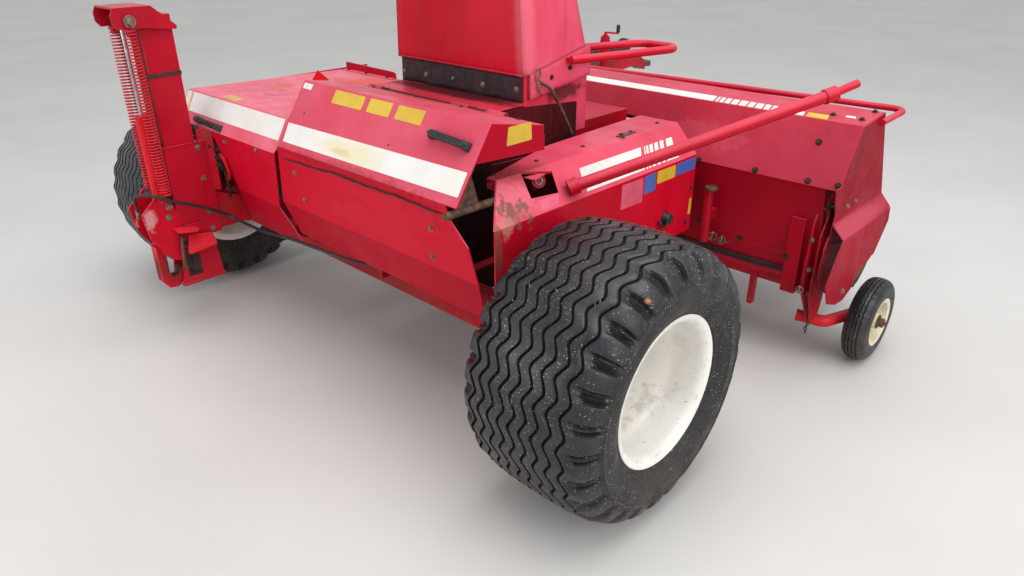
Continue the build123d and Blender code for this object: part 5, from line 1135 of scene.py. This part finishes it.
# cross auger: two hands of flight that bring the crop to the middle, with paddles between
pc = Piece()
N_ = 30
for x0, x1, hand in ((-560, 150, 1), (1400, 440, -1)):
    turns = abs(x1 - x0) / 240.0; n = int(turns * N_)
    inn, out = [], []
    for i in range(n + 1):
        a = 2 * math.pi * turns * i / n * hand; x = x0 + (x1 - x0) * i / n
        dr = V((0, math.cos(a), math.sin(a)))
        inn.append(V((x, 1300, 590)) + dr * 49); out.append(V((x, 1300, 590)) + dr * 142)
    t = V((2.2, 0, 0))
    pc.quadgrid([[p - t for p in inn], [p - t for p in out], [p + t for p in out], [p + t for p in inn]], closed_v=True, smooth=True)
for k in range(4):
    a = math.pi / 2 * k + 0.4
    dr, tn = V((0, math.cos(a), math.sin(a))), V((0, -math.sin(a), math.cos(a)))
    c = V((0, 1300, 590))
    pc.prism([V((190, 0, 0)) + c + dr * 48, V((400, 0, 0)) + c + dr * 48, V((400, 0, 0)) + c + dr * 128, V((190, 0, 0)) + c + dr * 128], tn * 5)
ob = pc.make("auger_flights", "auger", "steel")
n_ = ob.modifiers.new("shade", "NODES"); n_.node_group = g2

# --------------------------------------------------------------------------
# trailer hitch tower: bolts, nuts, band, jaw edge
# --------------------------------------------------------------------------
pc = Piece()
for z, y in ((808, -307), (676, -307), (528, -309), (452, -307)): pc.bolt((-644, y, z), (1, 0, 0), 19)
for z in (808, 676, 528, 452): pc.bolt((-756, -307, z), (-1, 0, 0), 19)
pc.make("tower_bolts", "root", "bolt")
pc = Piece()
pc.bolt((-630, -486, 552), (1, 0, 0), 21); pc.bolt((-770, -486, 552), (-1, 0, 0), 21)
pc.bolt((-622, -480, 600), (1, 0, 0), 24); pc.bolt((-798, -480, 600), (-1, 0, 0), 24)
pc.make("carriage_bolts", "hitch_carriage", "bolt")
pc = Piece()
pc.bolt((-608, -480, 1317), (1, 0, 0), 36); pc.bolt((-792, -480, 1317), (-1, 0, 0), 36)
pc.make("head_pin_nuts", "root", "bolt")
pc = Piece()
ring = lambda o, z, dz: [V((-750 - o, -438 - o, z + dz)), V((-650 + o, -438 - o, z)), V((-650 + o, -313 + o, z + 3)), V((-750 - o, -313 + o, z + dz + 2))]
rr = [ring(0.2, 1101, -3), ring(2.4, 1101, -3), ring(2.8, 1108, -3), ring(2.4, 1116, -3), ring(0.2, 1116, -3)]
pc.quadgrid(rr, closed_u=True, closed_v=True, smooth=False)
pc.make("tower_band", "root", "rubber")
pc = Piece()
pc.rod([(-757, -446, 831), (-757, -300, 831)], 2.4, 8); pc.rod([(-643, -446, 831), (-643, -300, 831)], 2.4, 8); pc.rod([(-757, -446, 831), (-643, -446, 831)], 2.4, 8)
for y in (-438,):
    pc.rod([(-650, y, 832), (-650, y, 1328)], 1.8, 8); pc.rod([(-750, y, 832), (-750, y, 1328)], 1.8, 8)
pc.make("tower_welds", "root", "red_tower")
# ledge, tilted jaw plate and latch rod on the carriage, and the greasy wear plate under them
pc = Piece()
pc.prism([(-630, -478, 497), (-630, -388, 482), (-600, -384, 476), (-588, -398, 474), (-588, -466, 486), (-600, -480, 492)], (0, 1, 6))
pc.make("jaw_ledge", "hitch_carriage", "red_bright", 0.8)
pc = Piece()
pc.prism([(-630, -424, 452), (-634, -322, 436), (-612, -318, 404), (-602, -322, 390), (-596, -440, 382), (-600, -450, 392)], (2, 1, 6))
pc.prism([(-632, -420, 440), (-632, -330, 424), (-614, -330, 402), (-612, -424, 408)], (-6, 0, -8))
pc.make("jaw_plate", "hitch_carriage", "red_bright", 0.8)
pc = Piece()
pc.prism([(-650, -440, 452), (-650, -388, 440), (-650, -384, 262), (-650, -446, 266)], (2.5, 0, 0))
pc.prism([(-647.5, -424, 400), (-647.5, -408, 396), (-647.5, -402, 290), (-647.5, -420, 292)], (7, 0, 0))
pc.make("column_wear_plate", "root", "grease", 0.8)
pc = Piece()
pc.rod(bend([(-622, -452, 470), (-612, -462, 436), (-608, -470, 380), (-612, -466, 330), (-620, -456, 312)], 24, 6), 7.0, 12)
pc.make("hook_latch_rod", "hitch_carriage", "rusty")

# --------------------------------------------------------------------------
# parts the photograph doesn't show, finished as such a machine has them
# --------------------------------------------------------------------------
def spin_y(p, deg, cy_, cz_):
    a = math.radians(deg); y, z = p[1] - cy_, p[2] - cz_
    return V((p[0], cy_ + y * math.cos(a) - z * math.sin(a), cz_ + y * math.sin(a) + z * math.cos(a)))


CYC, CZC = 430.0 - 800.0, 2300.0
pc = Piece()
for deg in (33, 67):
    for sx in (-1, 1):
        for dy in (-100, -34, 34, 100):
            p = (298 + sx * 153, 430 + dy, CZC + 7); q = (298 + sx * 153, 430 + dy, CZC + 8)
            a_, b_ = spin_y(p, deg, CYC, CZC), spin_y(q, deg, CYC, CZC); pc.bolt(a_, b_ - a_, 13)
    for sy_ in (-1, 1):
        for dx in (-110, -37, 37, 110):
            p = (298 + dx, 430 + sy_ * 128, CZC + 7); q = (298 + dx, 430 + sy_ * 128, CZC + 8)
            a_, b_ = spin_y(p, deg, CYC, CZC), spin_y(q, deg, CYC, CZC); pc.bolt(a_, b_ - a_, 13)
for k in range(12):
    a = math.pi / 6 * k + 0.13
    x, y = 298 + 212 * math.cos(a), 430 + 212 * math.sin(a)
    if abs(x - 298) < 152 and abs(y - 430) < 128: continue
    pc.bolt((x, y, 1905), (0, 0, 1), 15)
pc.make("spout_bolts", "spout", "bolt")

# drawbar, turned 11 degrees to the left about its pivot
def D(x, y, z):
    a = math.radians(11.0); dx, dy = x + 960, y - 1000
    return V((-960 + dx * math.cos(a) - dy * math.sin(a), 1000 + dx * math.sin(a) + dy * math.cos(a), z))


bx_, by_ = -960.0, 1000.0
pc = Piece()
ax_ = D(0, 1, 0) - D(0, 0, 0)
for y0, s_ in ((by_ + 130, 1), (by_ + 3350 - 425, -1)):
    pc.lathe(D(bx_ + 5, y0, 690), ax_ * s_, [(-2, 44), (0, 62), (14, 64), (22, 60), (34, 60), (42, 56), (54, 56), (62, 51), (74, 51), (82, 46), (96, 45), (98, 42)], 32)
for k in range(9):
    pc.lathe(D(bx_ + 5, by_ + 300 + 290 * k, 690), ax_, [(-1, 42), (0, 44.5), (8, 44.5), (9, 42)], 28)
pc.make("shaft_guard_cones", "drawbar", "black")
pc = Piece()
for y in (by_ + 300, by_ + 3000):
    pc.rod([D(bx_ + 5 + 46 * math.cos(a), y, 690 + 46 * math.sin(a)) for a in [math.radians(200 + 320 * k / 16) for k in range(17)]], 2.4, 8)
c = [D(bx_ + 5, by_ + 3000, 646)] + [D(bx_ + 5 + 10 * math.sin(k), by_ + 3000 + 14 * k, 640 - 12 * math.sin(math.pi * k / 8)) for k in range(1, 9)]
pc.rod(c, 3.0, 8)
pc.make("shaft_guard_rings", "drawbar", "bolt")
pc = Piece()
for k in range(6):
    a = math.pi / 3 * k
    pc.lathe(D(bx_ + 5 + 12.6 * math.cos(a), by_ + 2930, 690 + 12.6 * math.sin(a)), ax_, [(0, 5.5), (112, 5.5), (116, 4.5)], 10)
pc.lathe(D(bx_ + 5, by_ + 2988, 690), ax_, [(0, 18), (3, 26), (30, 26), (33, 22)], 24)
pc.make("shaft_splines", "drawbar", "steel")
pc = Piece()
jy = by_ + 2350
pc.lathe(D(bx_ + 212, jy, 872), (0, 0, 1), [(0, 11), (4, 14), (30, 15), (52, 14), (57, 10.2)], 20)
pc.make("jack_grip", "drawbar", "black")
pc = Piece()
for z in (330, 790):
    pc.lathe(D(bx_ + 105, jy, z), (0, 0, 1), [(0, 36), (2, 39.5), (14, 39.5), (16, 36)], 32)
for dy, z in ((-38, 530), (38, 530), (-38, 590), (38, 590)):
    pc.bolt(D(bx_ + 75, jy + dy, z), D(1, 0, 0) - D(0, 0, 0), 17)
pc.make("jack_bands", "drawbar", "bolt_dark")
pc = Piece()
for y in (by_ + 25, by_ + 65):
    pc.bolt(D(bx_ + 60, y, 560), D(1, 0, 0) - D(0, 0, 0), 24); pc.bolt(D(bx_ - 60, y, 560), D(0, 0, 0) - D(1, 0, 0), 24)
pc.make("drawbar_bolts", "drawbar", "bolt_dark")
# couplings parked on the hose stand
pc = Piece()
for k in range(3):
    pc.lathe(D(bx_ + 85, by_ + 1725 + 26 * (k - 1), 1040 - 42 * (k - 1)), D(1, 0, 0) - D(0, 0, 0), [(-1, 13), (4, 13), (5, 11), (24, 11), (25, 8.5), (34, 8.5), (36, 6)], 20)
pc.make("parked_couplings", "drawbar", "bolt")

# gearbox: filler cap and bolts
pc = Piece()
for y in (585, 635, 685, 735, 780):
    for z in (612, 808):
        pc.bolt((-830, y, z), (-1, 0, 0), 13)
for x in (-800, -590):
    for y in (585, 775): pc.bolt((x, y, 830), (0, 0, 1), 13)
pc.lathe((-700, 680, 829), (0, 0, 1), [(0, 60), (6, 60), (8, 56), (10, 24), (24, 22), (26, 16)], 32)
pc.make("gearbox_bolts", "root", "bolt_dark")

# roller bars get welded end rings
pc = Piece()
for z, r, body in ((765, 78, "upper_feed_roller"),):
    for x in (6, 270, 538): pc.lathe((x, 860, z), (1, 0, 0), [(0, r - 4), (1, r + 4.5), (7, r + 4.5), (8, r - 4)], 36)
pc.make("upper_roller_rings", "upper_feed_roller", "steel")
pc = Piece()
for x in (6, 270, 538): pc.lathe((x, 860, 595), (1, 0, 0), [(0, 64), (1, 72), (7, 72), (8, 64)], 36)
pc.make("lower_roller_rings", "lower_feed_roller", "steel")

# left panel bolts of the frame
pc = Piece()
for y in (0, 220, 460, 700, 900): pc.bolt((-960, y, 600), (-1, 0, 0), 15)
pc.make("left_side_bolts", "root", "bolt_dark")

# --------------------------------------------------------------------------
# floor, world and lights
# --------------------------------------------------------------------------
fm = Mat("studio_floor", rough=0.85)
fm.color(fm.mix(fm.rng(fm.noise(0.8, 4), 0.3, 0.7), lin(206, 203, 198), lin(200, 197, 192)))
me = bpy.data.meshes.new("floor"); me.from_pydata([(-60, -60, -0.0005), (60, -60, -0.0005), (60, 60, -0.0005), (-60, 60, -0.0005)], [], [(0, 1, 2, 3)])
fl = bpy.data.objects.new("floor", me); bpy.context.scene.collection.objects.link(fl); me.materials.append(fm.m)

w = bpy.data.worlds.new("studio"); bpy.context.scene.world = w; w.use_nodes = True
w.node_tree.nodes["Background"].inputs[0].default_value = (0.93, 0.96, 1.0, 1)
w.node_tree.nodes["Background"].inputs[1].default_value = 0.80


def area(name, loc, aim, size, power, col=(1, 1, 1), high=None):
    l = bpy.data.lights.new(name, "AREA"); l.energy = power; l.size = size; l.color = col
    if high: l.shape = "RECTANGLE"; l.size_y = high
    o = bpy.data.objects.new(name, l); bpy.context.scene.collection.objects.link(o)
    o.location = loc; o.rotation_euler = (Vector(aim) - Vector(loc)).to_track_quat("-Z", "Y").to_euler()


area("sky_soft", (1.5, -1.5, 6.0), (0.3, -1.0, 0.5), 5.0, 240, (0.97, 0.98, 1.0))
area("side_soft", (6.5, -1.6, 3.4), (0.6, -1.0, 0.6), 4.5, 150, (1.0, 0.99, 0.98))
area("rear_low", (-1.2, -5.6, 1.45), (0.0, -1.6, 0.9), 3.2, 42, (1.0, 0.99, 0.99), 1.3)

bpy.context.view_layer.update()
